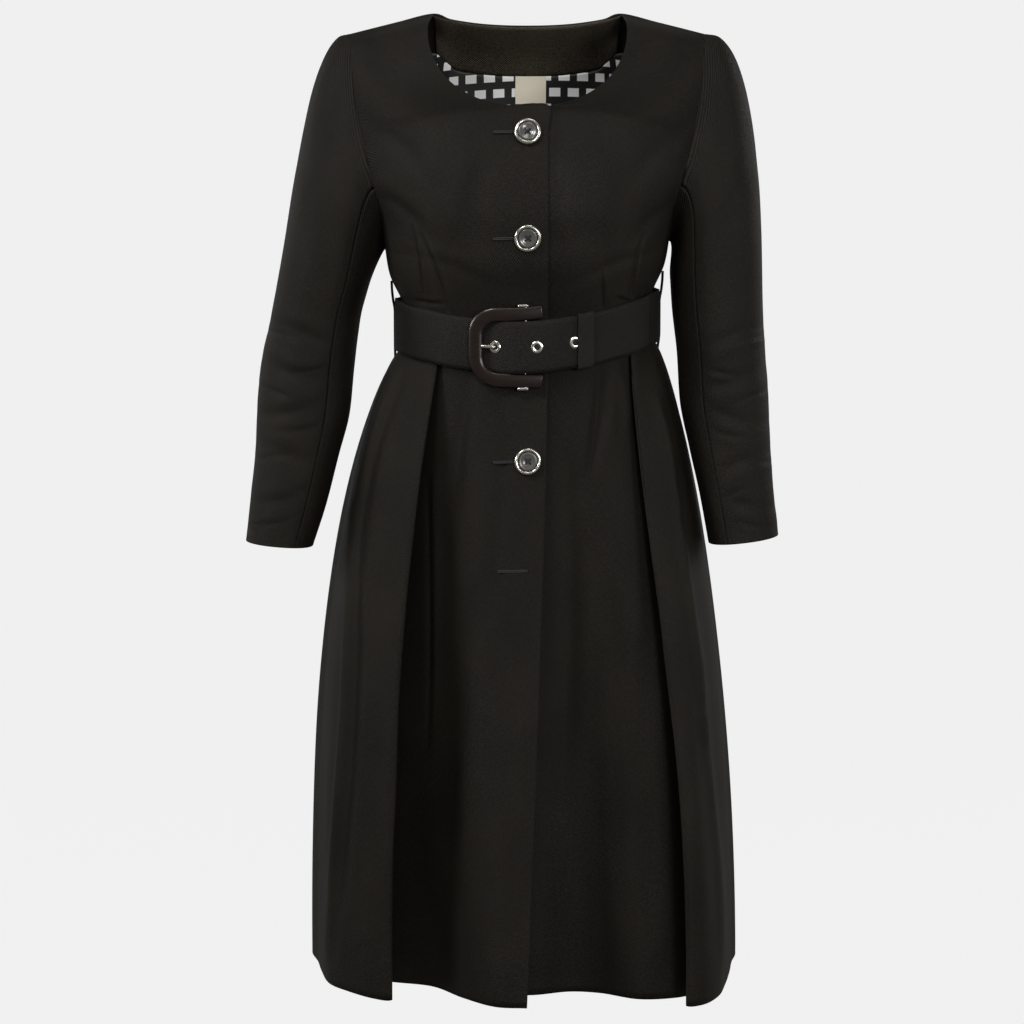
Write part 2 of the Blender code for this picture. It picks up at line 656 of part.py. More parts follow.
def cloth(name, grid, wall, surface):
    """A cloth wall of even thickness round a grid of middle points."""
    rows, cols = grid.shape[:2]
    normals = normals_of(grid, 1)
    upper = (grid + normals * wall / 2).reshape(-1, 3)
    lower = (grid - normals * wall / 2).reshape(-1, 3)
    points = np.concatenate([upper, lower])
    below = rows * cols
    faces = []
    for row in range(rows - 1):
        for col in range(cols - 1):
            corner = row * cols + col
            far = corner + cols + 1
            for face in ((corner, corner + 1, far), (corner, far, corner + cols)):
                faces.append(face)
                faces.append(tuple(below + place for place in reversed(face)))
    rim = [col for col in range(cols)]
    rim += [row * cols + cols - 1 for row in range(1, rows)]
    rim += [(rows - 1) * cols + col for col in range(cols - 2, -1, -1)]
    rim += [row * cols for row in range(rows - 2, 0, -1)]
    for place, corner in enumerate(rim):
        after = rim[(place + 1) % len(rim)]
        faces.append((corner, below + corner, below + after, after))
    return solid(name, points, faces, surface)


def loops_solid(name, loops, surface, closed):
    """A solid through loops of points (count, points, 3), closed into a ring or capped at both ends."""
    count, size = loops.shape[:2]
    faces = []
    for place in range(count if closed else count - 1):
        here = place * size
        after = (place + 1) % count * size
        for corner in range(size):
            beside = (corner + 1) % size
            faces.append((here + corner, here + beside, after + beside, after + corner))
    if not closed:
        faces.append(tuple(range(size)))
        faces.append(tuple((count - 1) * size + corner for corner in range(size)))
    return solid(name, loops.reshape(-1, 3), faces, surface)


def waist_ring():
    """Angles across the waist's ring, with its points at the front and at the back."""
    half = np.linspace(-math.pi / 2, math.pi / 2, 361)
    front = torso(half, np.full(361, BELT_RING) + waist_dip(half, False))
    back = torso(half, np.full(361, BELT_RING) + waist_dip(half, True), True)
    return half, front, back


def waist_measure():
    """Distances along the waist's ring from its right side, through the front, then back along the back."""
    half, front, back = waist_ring()
    ring = np.concatenate([front, back[::-1][1:]])[:, :2]
    angles = np.concatenate([half, math.pi - half[::-1][1:]])
    along = np.concatenate([[0], np.cumsum(np.linalg.norm(np.diff(ring, axis=0), axis=1))])
    return along, angles, np.interp(0, half, along[:361]), along[-1]


WAIST_ALONG, WAIST_ANGLES, WAIST_CENTRE, WAIST_LENGTH = waist_measure()


def on_waist(along, out, up):
    """Point near the waist: distance along it from the centre front, out from its ring, up its height."""
    along, out, up = np.broadcast_arrays(np.asarray(along, float), out, up)
    angle = np.interp(np.mod(along + WAIST_CENTRE, WAIST_LENGTH), WAIST_ALONG, WAIST_ANGLES)
    points = np.empty(along.shape + (3,))
    for back in (False, True):
        here = (np.cos(angle) < 0) == back
        turn = np.where(angle > math.pi / 2, math.pi - angle, angle)[here]
        height = BELT_RING + waist_dip(turn, back)
        base = torso(turn, height, back) + level_normal(turn, height, back) * out[here][..., None]
        base[..., 2] = belt_level(turn, back) + up[here]
        points[here] = base
    return points


def belt_out(along):
    """How far the belt's middle lies out from the waist's ring, along its whole length."""
    round_front = along - WAIST_LENGTH
    keys = np.array([-0.10, -0.0780, -0.0570, -0.0415, -0.0060, 0.0040, 0.0400, 0.20])
    flat = [BELT_OUT, BELT_OUT, UNDER_FRAME_OUT, UNDER_FRAME_OUT]
    values = np.array(flat + [OVER_BAR_OUT, OVER_BAR_OUT, TONGUE_OUT, TONGUE_OUT])
    return smooth(keys, values, round_front)


def belt_middle(along, up=0.0):
    """Point on the belt's middle surface."""
    return on_waist(along, belt_out(np.asarray(along, float)), up)


def belt():
    """The belt as one strip, from the buckle's bar round the back and over itself to the tongue's end."""
    round_back = np.linspace(BELT_END, WAIST_LENGTH - 0.085, 56)
    tongue = np.linspace(WAIST_LENGTH - 0.085, WAIST_LENGTH + TONGUE_END, 34)
    along = np.concatenate([round_back[:-1], tongue])
    half = BELT_WIDTH / 2
    corners = ((1, half), (-1, half), (-1, -half), (1, -half))
    loops = [on_waist(along, belt_out(along) + place * BELT_WALL / 2, up) for place, up in corners]
    made = loops_solid("belt", np.stack(loops, axis=1), black_cloth, False)
    cutters = [round_cutter(WAIST_LENGTH + place) for place in EYELET_PLACES]
    cut_away(made, cutters)
    return made


def belt_axes(along):
    """Middle, direction along, direction up and direction out of the belt at a place."""
    middle = belt_middle(along)
    forward = belt_middle(along + 0.002) - belt_middle(along - 0.002)
    forward /= np.linalg.norm(forward)
    up = np.array([0.0, 0.0, 1.0]) - forward * forward[2]
    up /= np.linalg.norm(up)
    return middle, forward, up, np.cross(forward, up)


def round_cutter(along):
    """A short pin through the belt where an eyelet goes."""
    middle, forward, up, out = belt_axes(along)
    turns = np.linspace(0, 2 * math.pi, 12, endpoint=False)
    ring = EYELET_HOLE * (np.cos(turns)[:, None] * forward + np.sin(turns)[:, None] * up)
    reach = BELT_WALL / 2 + 0.00018
    loops = np.stack([middle + ring - out * reach, middle + ring + out * (reach + 0.001)])
    return loops_solid("eyelet_cutter", loops, black_cloth, False)


def cut_away(made, cutters):
    """Cuts the given solids out of an object and removes them."""
    for cutter in cutters:
        cut = made.modifiers.new("cut", "BOOLEAN")
        cut.operation = "DIFFERENCE"
        cut.solver = "EXACT"
        cut.object = cutter
    shape = made.evaluated_get(bpy.context.evaluated_depsgraph_get())
    mesh = bpy.data.meshes.new_from_object(shape)
    made.modifiers.clear()
    made.data = mesh
    for cutter in cutters:
        bpy.data.objects.remove(cutter)


def belt_keeper():
    """The cloth loop that holds the tongue on the belt."""
    half = BELT_WIDTH / 2 + 0.0003 + KEEPER_WALL / 2
    low = KEEPER_LOW + KEEPER_WALL / 2
    high = KEEPER_HIGH - KEEPER_WALL / 2
    corner = 0.0010
    path = []
    for out, up, turn in ((low, -half, 180), (high, -half, 270), (high, half, 0), (low, half, 90)):
        for step in (0, 45, 90):
            angle = math.radians(turn + step)
            inset_out = out + corner * (1 if out == low else -1)
            inset_up = up + corner * (1 if up < 0 else -1)
            path.append((inset_out + corner * math.cos(angle), inset_up + corner * math.sin(angle)))
    path = np.array(path)
    way = np.roll(path, -1, axis=0) - np.roll(path, 1, axis=0)
    way /= np.linalg.norm(way, axis=1, keepdims=True)
    aside = np.stack([way[:, 1], -way[:, 0]], axis=-1)
    loops = []
    for edge, skin in ((-1, 1), (1, 1), (1, -1), (-1, -1)):
        spot = path + aside * skin * KEEPER_WALL / 2
        loops.append(on_waist(KEEPER_PLACE + edge * KEEPER_WIDTH / 2, spot[:, 0], spot[:, 1]))
    return loops_solid("belt_keeper", np.stack(loops, axis=1), black_cloth, True)


def skirt_side_reach(side, height):
    """How far out the skirt's middle surface comes beside the side seam at a height."""
    front = skirt_front(side, RIGHT_FOLDS if side == RIGHT else LEFT_FOLDS)[:, -2:]
    back = skirt_back()[:, :2] if side == RIGHT else skirt_back()[:, -2:]
    lines = np.concatenate([front, back], axis=1)
    return max(np.interp(-height, -lines[:, col, 2], side * lines[:, col, 0]) for col in range(4))


def belt_carrier(name, side):
    """The thin strip at a side seam that the belt passes through, held above and below the belt."""
    count = 9
    heights = np.linspace(CARRIER_TOP, CARRIER_FOOT, count)
    clear = WALL / 2 + CARRIER_WALL / 2 + 0.0004
    top_out = section(math.pi / 2, CARRIER_TOP, False)[0] + clear
    foot_out = skirt_side_reach(side, CARRIER_FOOT) + clear
    belt_face = TORSO["half_width"][2] + BELT_OUT + BELT_WALL / 2 + CARRIER_WALL / 2 + 0.0008
    shares = np.linspace(0, 1, count)
    above = (top_out - belt_face) * (1 - ramp(0, 0.3, shares))
    below = (foot_out - belt_face) * ramp(0.7, 1, shares)
    bow = np.maximum(belt_face + above + below, belt_face)
    loops = []
    for edge, skin in ((-1, 1), (1, 1), (1, -1), (-1, -1)):
        x = side * (bow + skin * CARRIER_WALL / 2)
        y = np.full(count, edge * CARRIER_WIDTH / 2)
        loops.append(np.stack([x, y, heights], axis=-1))
    return loops_solid(name, np.stack(loops, axis=1), black_cloth, False)


def buckle_frame():
    """The horn frame: a rounded U lying on the belt, open towards the tongue's end, bored for its bar."""
    turns = np.radians(np.linspace(90, 180, 7))
    arm = FRAME_HALF_HEIGHT
    centre = FRAME_LEFT + FRAME_CORNER
    top = [(FRAME_RIGHT, arm + 0.0010), (FRAME_RIGHT * 0.4, arm + 0.0008), (centre * 0.5, arm + 0.0004)]
    middle = arm - FRAME_CORNER
    bend = [(centre + FRAME_CORNER * math.cos(t), middle + FRAME_CORNER * math.sin(t)) for t in turns]
    upper = np.array(top + bend)
    lower = upper[::-1] * np.array([1, -1])
    path = np.concatenate([upper, [[FRAME_LEFT, 0.0]], lower])
    way = np.gradient(path, axis=0)
    way /= np.linalg.norm(way, axis=1, keepdims=True)
    aside = np.stack([-way[:, 1], way[:, 0]], axis=-1)
    wide = FRAME_WIDTH / 2
    thick = FRAME_WALL
    outline = (
        (-1.00, 0.25), (-0.80, 0.00), (0.80, 0.00), (1.00, 0.25),
        (1.00, 0.62), (0.72, 0.92), (0.00, 1.00), (-0.72, 0.92), (-1.00, 0.62),
    )
    loops = []
    for across, out in outline:
        spot = path + aside * across * wide
        loops.append(on_waist(spot[:, 0], FRAME_BACK + out * thick, spot[:, 1]))
    made = loops_solid("buckle_frame", np.stack(loops, axis=1), polished_horn, False)
    cut_away(made, [bar_solid("bar_cutter", BAR_RADIUS + 0.0003, 0.06)])
    return made


def bar_solid(name, radius, half_length):
    """An upright round bar through the buckle's arms."""
    middle = on_waist(BAR_PLACE, BAR_OUT, 0.0)
    turns = np.linspace(0, 2 * math.pi, 12, endpoint=False)
    ring = radius * np.stack([np.cos(turns), np.sin(turns), 0 * turns], axis=-1)
    reach = np.array([0, 0, half_length])
    return loops_solid(name, np.stack([middle + ring - reach, middle + ring + reach]), bright_metal, False)


def buckle_bar():
    return bar_solid("buckle_bar", BAR_RADIUS, BAR_HALF_LENGTH)


def buckle_prong():
    """The prong, cranked from under the bar up through the first eyelet to the frame's inner edge."""
    hole = EYELET_PLACES[0]
    under = BAR_OUT - BAR_RADIUS - 0.0003 - PRONG_RADIUS
    tip = FRAME_LEFT + FRAME_WIDTH / 2 + 0.0003
    path = np.array(
        [
            (BAR_PLACE + 0.0010, under),
            (hole + 0.0180, under - 0.0001),
            (hole + 0.0090, under - 0.0009),
            (hole + 0.0030, under - 0.0015),
            (hole + 0.0008, under - 0.0009),
            (hole + 0.0001, under + 0.0006),
            (hole - 0.0002, under + 0.0020),
            (hole - 0.0008, under + 0.0033),
            (hole - 0.0026, under + 0.0039),
            (tip, under + 0.0040),
        ]
    )
    way = np.gradient(path, axis=0)
    way /= np.linalg.norm(way, axis=1, keepdims=True)
    aside = np.stack([-way[:, 1], way[:, 0]], axis=-1)
    loops = []
    for turn in np.linspace(0, 2 * math.pi, 8, endpoint=False):
        spot = path + aside * PRONG_RADIUS * math.cos(turn)
        loops.append(on_waist(spot[:, 0], spot[:, 1], PRONG_RADIUS * math.sin(turn)))
    return loops_solid("buckle_prong", np.stack(loops, axis=1), bright_metal, False)


def lathe(name, profile, segments, middle, axes, surface):
    """A ring turned from a closed outline of (radius, height) about an axis out of the cloth."""
    first, second, out = axes
    loops = []
    for turn in np.linspace(0, 2 * math.pi, segments, endpoint=False):
        spoke = math.cos(turn) * first + math.sin(turn) * second
        loops.append([middle + radius * spoke + height * out for radius, height in profile])
    return loops_solid(name, np.array(loops), surface, True)


def disc(name, profile, segments, middle, axes, surface):
    """A full disc turned from an open outline of (radius, height), its first and last points on the axis."""
    first, second, out = axes
    points = [middle + profile[0][1] * out, middle + profile[-1][1] * out]
    rings = profile[1:-1]
    for turn in np.linspace(0, 2 * math.pi, segments, endpoint=False):
        spoke = math.cos(turn) * first + math.sin(turn) * second
        points += [middle + radius * spoke + height * out for radius, height in rings]
    faces = []
    size = len(rings)
    for place in range(segments):
        here = 2 + place * size
        after = 2 + (place + 1) % segments * size
        faces.append((0, here, after))
        faces.append((1, after + size - 1, here + size - 1))
        for step in range(size - 1):
            faces.append((here + step, here + step + 1, after + step + 1, after + step))
    return solid(name, points, faces, surface)


def eyelet(name, place):
    """A metal ring on the tongue's face."""
    middle, forward, up, out = belt_axes(WAIST_LENGTH + place)
    foot = middle + out * (BELT_WALL / 2 + 0.0003)
    profile = (
        (EYELET_HOLE, 0.0),
        (EYELET_RADIUS, 0.0),
        (EYELET_RADIUS - 0.0008, EYELET_WALL * 0.8),
        (EYELET_HOLE + 0.0014, EYELET_WALL),
        (EYELET_HOLE + 0.0002, EYELET_WALL * 0.6),
    )
    return lathe(name, profile, 16, foot, (forward, up, out), bright_metal)


def panel_axes(grid, height):
    """Point and directions on a panel's outer face at the centre line and a height."""
    turn = outward_turn(grid)
    normals = normals_of(grid, turn)
    spots = []
    for row in range(len(grid)):
        order = np.argsort(grid[row, :6, 0])
        across = grid[row, :6, 0][order]
        spot = [np.interp(0.0, across, grid[row, :6, axis][order]) for axis in range(3)]
        facing = [np.interp(0.0, across, normals[row, :6, axis][order]) for axis in range(3)]
        spots.append(spot + facing)
    spots = np.array(spots)
    spots = spots[np.argsort(spots[:, 2])]
    middle = np.array([np.interp(height, spots[:, 2], spots[:, axis]) for axis in range(3)])
    out = np.array([np.interp(height, spots[:, 2], spots[:, 3 + axis]) for axis in range(3)])
    out /= np.linalg.norm(out)
    first = np.cross(out, [0.0, 0.0, 1.0])
    first /= np.linalg.norm(first)
    return middle + out * WALL / 2, (first, np.cross(out, first), out)


def button(number, grid, height):
    """A button's metal rim and its dished face, standing just off the right front."""
    face, axes = panel_axes(grid, height)
    foot = face + axes[2] * 0.0006
    radius = BUTTON_RADIUS
    inner = BUTTON_FACE_RADIUS + 0.0003
    rim = (
        (inner, 0.0004),
        (radius - 0.0012, 0.0),
        (radius, 0.0012),
        (radius - 0.0003, 0.0030),
        (radius - 0.0022, BUTTON_WALL),
        (inner, BUTTON_WALL - 0.0012),
    )
    lathe(f"button_rim_{number}", rim, 20, foot, axes, bright_metal)
    dish = (
        (0.0, 0.0004),
        (BUTTON_FACE_RADIUS, 0.0004),
        (BUTTON_FACE_RADIUS, BUTTON_WALL - 0.0016),
        (BUTTON_FACE_RADIUS * 0.82, BUTTON_WALL - 0.0008),
        (BUTTON_FACE_RADIUS * 0.5, BUTTON_WALL - 0.0020),
        (0.0, BUTTON_WALL - 0.0024),
    )
    disc(f"button_face_{number}", dish, 20, foot, axes, smoky_plastic)


def inside_back(layer):
    """The bodice back's points moved in, for the inside layer of this number."""
    first = WALL / 2 + INSIDE_WALL / 2 + SEAM_GAP
    return moved_out(bodice_back(), -(first + layer * (INSIDE_WALL + SEAM_GAP)))


def neck_facing():
    """The black facing inside the back neck, over the two top rows of the back."""
    return cloth("neck_facing", inside_back(0)[-3:, 3:-3], INSIDE_WALL, black_cloth)


def back_lining():
    """The patterned lining that shows below the facing."""
    grid = inside_back(0)[3:-2, 1:-1]
    step = grid[-2] - grid[-1]
    grid[-1] += step * 2 * SEAM_GAP / np.linalg.norm(step, axis=-1, keepdims=True)
    return cloth("back_lining", grid, INSIDE_WALL, lining_cloth)


def neck_label():
    """The bare neck label, hanging from the facing's lower edge."""
    grid = inside_back(1)
    across = np.linspace(LABEL_MIDDLE - LABEL_WIDTH / 2, LABEL_MIDDLE + LABEL_WIDTH / 2, 4)
    lines = []
    for row in grid[3:-2]:
        lines.append(np.stack([np.interp(across, row[:, 0], row[:, axis]) for axis in range(3)], axis=-1))
    lines = np.array(lines)
    heights = np.linspace(lines[-1, 0, 2], lines[-1, 0, 2] - LABEL_HEIGHT, 5)
    label = np.empty((5, 4, 3))
    for col in range(4):
        for axis in range(3):
            label[:, col, axis] = np.interp(heights, lines[:, col, 2], lines[:, col, axis])
    return cloth("neck_label", label, INSIDE_WALL, label_cloth)


def bodice():
    cloth("bodice_front_right", bodice_front(RIGHT), WALL, black_cloth)
    cloth("bodice_front_left", bodice_front(LEFT), WALL, black_cloth)
    cloth("bodice_back", bodice_back(), WALL, black_cloth)


def sleeves():
    upper = np.arange(-UPPER_BACK_STRIPS, UPPER_FRONT_STRIPS + 1)
    under_front = np.arange(UPPER_FRONT_STRIPS, FRONT_ARMHOLE_STRIPS + 1)
    under_back = np.arange(-BACK_ARMHOLE_STRIPS + 1, -UPPER_BACK_STRIPS + 1)
    for name, side, table in (("right", RIGHT, RIGHT_SLEEVE), ("left", LEFT, LEFT_SLEEVE)):
        cloth(f"sleeve_upper_{name}", sleeve_panel(side, table, upper), WALL, black_cloth)
        under = np.concatenate([under_front, under_back])
        cloth(f"sleeve_under_{name}", sleeve_panel(side, table, under), WALL, black_cloth)


def skirt():
    cloth("skirt_front_right", skirt_front(RIGHT, RIGHT_FOLDS), WALL, black_cloth)
    cloth("skirt_front_left", skirt_front(LEFT, LEFT_FOLDS), WALL, black_cloth)
    cloth("skirt_back", skirt_back(), WALL, black_cloth)


def fastenings():
    belt()
    belt_keeper()
    belt_carrier("belt_carrier_right", RIGHT)
    belt_carrier("belt_carrier_left", LEFT)
    buckle_frame()
    buckle_bar()
    buckle_prong()
    for number, place in enumerate(EYELET_PLACES, 1):
        eyelet(f"eyelet_{number}", place)
    bodice_grid = bodice_front(RIGHT)
    skirt_grid = skirt_front(RIGHT, RIGHT_FOLDS)
    for number, height in enumerate(BUTTON_HEIGHTS, 1):
        button(number, skirt_grid if height < BELT_SIDE_HEIGHT else bodice_grid, height)


def main():
    for old in list(bpy.data.objects):
        bpy.data.objects.remove(old)
    bodice()
    sleeves()
    skirt()
    neck_facing()
    back_lining()
    neck_label()
    fastenings()


main()
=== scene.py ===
"""Looks of the belted coat: fine cloth shells on the solids' form, with creases, trims, stage and lights.

Metres, +Z up, in the same frame as the solids. The front of the coat faces -Y.
"""

import json
import math

import bpy
import numpy as np
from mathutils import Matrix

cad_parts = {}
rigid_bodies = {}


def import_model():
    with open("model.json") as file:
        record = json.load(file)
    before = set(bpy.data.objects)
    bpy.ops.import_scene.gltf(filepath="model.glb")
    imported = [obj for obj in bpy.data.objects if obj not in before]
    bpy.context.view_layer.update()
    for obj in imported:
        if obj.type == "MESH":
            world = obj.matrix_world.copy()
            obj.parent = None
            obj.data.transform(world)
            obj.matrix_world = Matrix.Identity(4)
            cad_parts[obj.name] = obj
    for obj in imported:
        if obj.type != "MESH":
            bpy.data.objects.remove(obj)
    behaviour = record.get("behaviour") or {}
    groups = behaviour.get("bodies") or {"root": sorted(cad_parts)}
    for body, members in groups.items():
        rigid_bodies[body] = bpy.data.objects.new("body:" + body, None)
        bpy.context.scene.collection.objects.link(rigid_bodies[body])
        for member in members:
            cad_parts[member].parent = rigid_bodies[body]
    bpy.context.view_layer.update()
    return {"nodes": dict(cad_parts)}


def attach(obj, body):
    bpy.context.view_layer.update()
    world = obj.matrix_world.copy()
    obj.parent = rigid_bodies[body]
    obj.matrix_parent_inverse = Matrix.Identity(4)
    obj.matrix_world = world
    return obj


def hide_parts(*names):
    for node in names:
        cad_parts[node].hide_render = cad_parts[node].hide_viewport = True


def columns(names, rows):
    """A table as one array for each named column."""
    return {name: np.array([row[place] for row in rows]) for place, name in enumerate(names)}


# Cloth
WALL = 0.0016
INSIDE_WALL = 0.0010
SEAM_GAP = 0.0003
LAP_STEP = 0.0030
RIGHT = -1
LEFT = 1

# Neck and shoulders
NECK_HALF_WIDTH = 0.0970
NECK_POINT = 0.0925
NECK_FRONT_DROP = 0.0815
NECK_SQUARENESS = 2.3
NECK_BACK_HEIGHT = 0.0015
NECK_BACK_CURVE = 2.4
RIDGE_HEIGHT = 0.0127
RIDGE_BREAK = 0.0860
RIDGE_ROUNDING = 0.01
SHOULDER_SLOPE = 0.250
FRONT_CAP = 0.090
BACK_CAP = 0.060
LAP = 0.0195
LAP_FADE = (0.024, 0.055)

# Level sections of the bodice
TORSO = columns(
    ("height", "half_width", "front_depth", "back_depth", "squareness"),
    (
        (-0.3300, 0.1250, 0.1003, 0.0868, 2.50),
        (-0.3100, 0.1243, 0.0998, 0.0862, 2.50),
        (-0.2900, 0.1240, 0.0995, 0.0860, 2.50),
        (-0.2610, 0.1252, 0.0998, 0.0866, 2.45),
        (-0.2480, 0.1330, 0.1025, 0.0915, 2.40),
        (-0.2155, 0.1397, 0.1150, 0.1020, 2.30),
        (-0.1880, 0.1465, 0.1190, 0.1065, 2.25),
        (-0.1500, 0.1680, 0.1120, 0.1080, 2.20),
        (-0.1100, 0.1785, 0.0980, 0.1060, 2.20),
        (-0.0700, 0.1830, 0.0860, 0.0980, 2.20),
        (-0.0350, 0.1855, 0.0780, 0.0880, 2.20),
        (0.0150, 0.1870, 0.0720, 0.0780, 2.20),
    ),
)

# Armhole from the armpit up to the shoulder point, as distance from the centre line
ARMHOLE = columns(
    ("height", "front", "back"),
    (
        (-0.2155, 0.1397, 0.1397),
        (-0.1880, 0.1415, 0.1440),
        (-0.1500, 0.1500, 0.1550),
        (-0.1100, 0.1600, 0.1650),
        (-0.0700, 0.1678, 0.1710),
        (-0.0350, 0.1716, 0.1735),
        (-0.0095, 0.1745, 0.1745),
    ),
)

# Level sections of the two sleeves below the armhole: the outer and inner outline, the middle's distance
# in front of the shoulder line and the depth from front to back
SLEEVE_COLUMNS = ("height", "outer", "inner", "forward", "depth")
RIGHT_SLEEVE = columns(
    SLEEVE_COLUMNS,
    (
        (-0.250, 0.2480, 0.1568, 0.004, 0.112),
        (-0.280, 0.2540, 0.1655, 0.006, 0.108),
        (-0.325, 0.2635, 0.1711, 0.010, 0.105),
        (-0.369, 0.2670, 0.1754, 0.016, 0.102),
        (-0.414, 0.2692, 0.1866, 0.022, 0.098),
        (-0.459, 0.2735, 0.1979, 0.028, 0.096),
        (-0.504, 0.2778, 0.2118, 0.034, 0.094),
    ),
)
LEFT_SLEEVE = columns(
    SLEEVE_COLUMNS,
    (
        (-0.250, 0.2325, 0.1415, 0.006, 0.112),
        (-0.280, 0.2330, 0.1432, 0.010, 0.108),
        (-0.325, 0.2350, 0.1480, 0.016, 0.105),
        (-0.369, 0.2378, 0.1505, 0.022, 0.102),
        (-0.414, 0.2394, 0.1595, 0.028, 0.098),
        (-0.459, 0.2420, 0.1700, 0.034, 0.096),
        (-0.506, 0.2475, 0.1790, 0.040, 0.094),
    ),
)

# Strips of cloth round each armhole, at the bodice's front and back and in the upper sleeve
FRONT_ARMHOLE_STRIPS = 12
BACK_ARMHOLE_STRIPS = 10
UPPER_FRONT_STRIPS = 8
UPPER_BACK_STRIPS = 7

# Squareness of a sleeve, how far each leaves the shoulder before it falls, and the slope of the cuffs
SLEEVE_SQUARENESS = 2.2
RIGHT_SLEEVE_REACH = 0.45
LEFT_SLEEVE_REACH = 0.60
CUFF_SLOPE = 0.11

# Sleeve head: its step out from the armhole at the shoulder and further out at the armpit, the share of a
# strip left open at a seam, its slant in degrees at the shoulder and the further slant at the armpit, then
# its rows, how far they crowd towards the armhole, and the rows of the arm below it
HEAD_OUT = 0.0008
ARMPIT_OUT = 0.0016
SEAM_SHARE = 0.025
SHOULDER_LEAN = -7
ARMPIT_LEAN = 62
HEAD_ROWS = 7
HEAD_ROW_EASE = 1.15
ARM_ROWS = 24

# Skirt: the hem, the rows of points down to it, and how far they crowd towards the belt
HEM_HEIGHT = -0.9440
SKIRT_ROWS = 110
SKIRT_ROW_EASE = 1.3

# Folds of the skirt's right front, from the lapping edge to the side seam. "waist" and "hem" are distances
# from the centre line towards that side, "stack" is the layer's step out at the waist, "forward" its depth at
# the hem, "drop" how far its hem hangs below the rest, "start" and "ease" bend its way down, and "cells" is
# the number of strips to the next fold.
FOLD_COLUMNS = ("name", "waist", "stack", "hem", "forward", "drop", "start", "ease", "cells")
RIGHT_FOLDS = columns(
    FOLD_COLUMNS,
    (
        ("front edge", -0.0195, 0.0000, 0.0006, 0.1635, 0.0005, 1.3, 1.0, 2),
        ("centre swell", 0.0100, 0.0000, 0.0290, 0.1590, 0.0005, 1.2, 1.2, 2),
        ("roll", 0.0400, 0.0000, 0.0610, 0.1285, 0.0000, 1.0, 1.6, 2),
        ("hollow", 0.0660, -0.0008, 0.0940, 0.0835, 0.0000, 1.0, 2.2, 2),
        ("underlay", 0.0860, -0.0022, 0.1280, 0.0695, 0.0000, 1.0, 2.4, 2),
        ("inner fold in", 0.1070, -0.0022, 0.1580, 0.0600, 0.0000, 1.0, 2.4, 1),
        ("inner fold", 0.1110, -0.0011, 0.1640, 0.0650, 0.0000, 1.0, 2.4, 1),
        ("inner fold out", 0.1070, 0.0000, 0.1590, 0.0735, 0.0000, 1.0, 2.4, 2),
        ("pleat edge in", 0.0892, 0.0000, 0.1352, 0.1275, 0.0000, 1.0, 2.4, 1),
        ("pleat edge", 0.0865, 0.0011, 0.1320, 0.1340, 0.0000, 1.0, 2.4, 1),
        ("pleat edge out", 0.0892, 0.0022, 0.1353, 0.1370, 0.0000, 1.0, 2.4, 1),
        ("side panel", 0.1000, 0.0022, 0.1510, 0.1280, 0.0000, 1.0, 2.4, 2),
        ("side turn", 0.1110, 0.0020, 0.1750, 0.1030, 0.0000, 0.9, 2.4, 2),
        ("side fall", 0.1185, 0.0012, 0.1945, 0.0750, 0.0000, 0.80, 2.3, 1),
        ("side ridge", 0.1225, 0.0004, 0.2065, 0.0220, 0.0000, 0.75, 2.3, 1),
        ("side seam", 0.1240, 0.0000, 0.2100, 0.0000, 0.0000, 0.75, 2.3, 0),
    ),
)
LEFT_FOLDS = columns(
    FOLD_COLUMNS,
    (
        ("under edge", -0.0195, -0.0030, -0.0360, 0.1100, 0.0000, 1.3, 1.0, 2),
        ("centre swell", 0.0120, -0.0030, 0.0030, 0.1170, 0.0000, 1.3, 1.0, 2),
        ("hollow", 0.0360, -0.0016, 0.0419, 0.1035, 0.0000, 1.2, 1.2, 2),
        ("roll", 0.0580, -0.0004, 0.0711, 0.1085, 0.0000, 1.2, 1.6, 2),
        ("gather", 0.0800, -0.0002, 0.1094, 0.1315, 0.0000, 1.4, 2.2, 2),
        ("underlay", 0.0960, -0.0022, 0.1470, 0.1250, 0.0000, 1.5, 2.5, 2),
        ("inner fold in", 0.1080, -0.0022, 0.1760, 0.1020, 0.0000, 1.5, 2.5, 1),
        ("inner fold", 0.1115, -0.0011, 0.1820, 0.1070, 0.0000, 1.5, 2.5, 1),
        ("inner fold out", 0.1080, 0.0000, 0.1770, 0.1155, 0.0000, 1.5, 2.5, 2),
        ("pleat edge in", 0.1016, 0.0000, 0.1570, 0.1500, 0.0000, 1.5, 2.5, 1),
        ("pleat edge", 0.0995, 0.0011, 0.1535, 0.1555, 0.0000, 1.5, 2.5, 1),
        ("pleat edge out", 0.1016, 0.0022, 0.1570, 0.1585, 0.0000, 1.5, 2.5, 1),
        ("side panel", 0.1085, 0.0022, 0.1705, 0.1500, 0.0000, 1.4, 2.5, 2),
        ("side turn", 0.1160, 0.0016, 0.1860, 0.1200, 0.0000, 1.1, 2.2, 2),
        ("side fall", 0.1205, 0.0008, 0.1955, 0.0760, 0.0000, 0.85, 1.9, 2),
        ("side ridge", 0.1232, 0.0003, 0.2040, 0.0220, 0.0000, 0.75, 1.75, 1),
        ("side seam", 0.1240, 0.0000, 0.2065, 0.0000, 0.0000, 0.75, 1.75, 0),
    ),
)

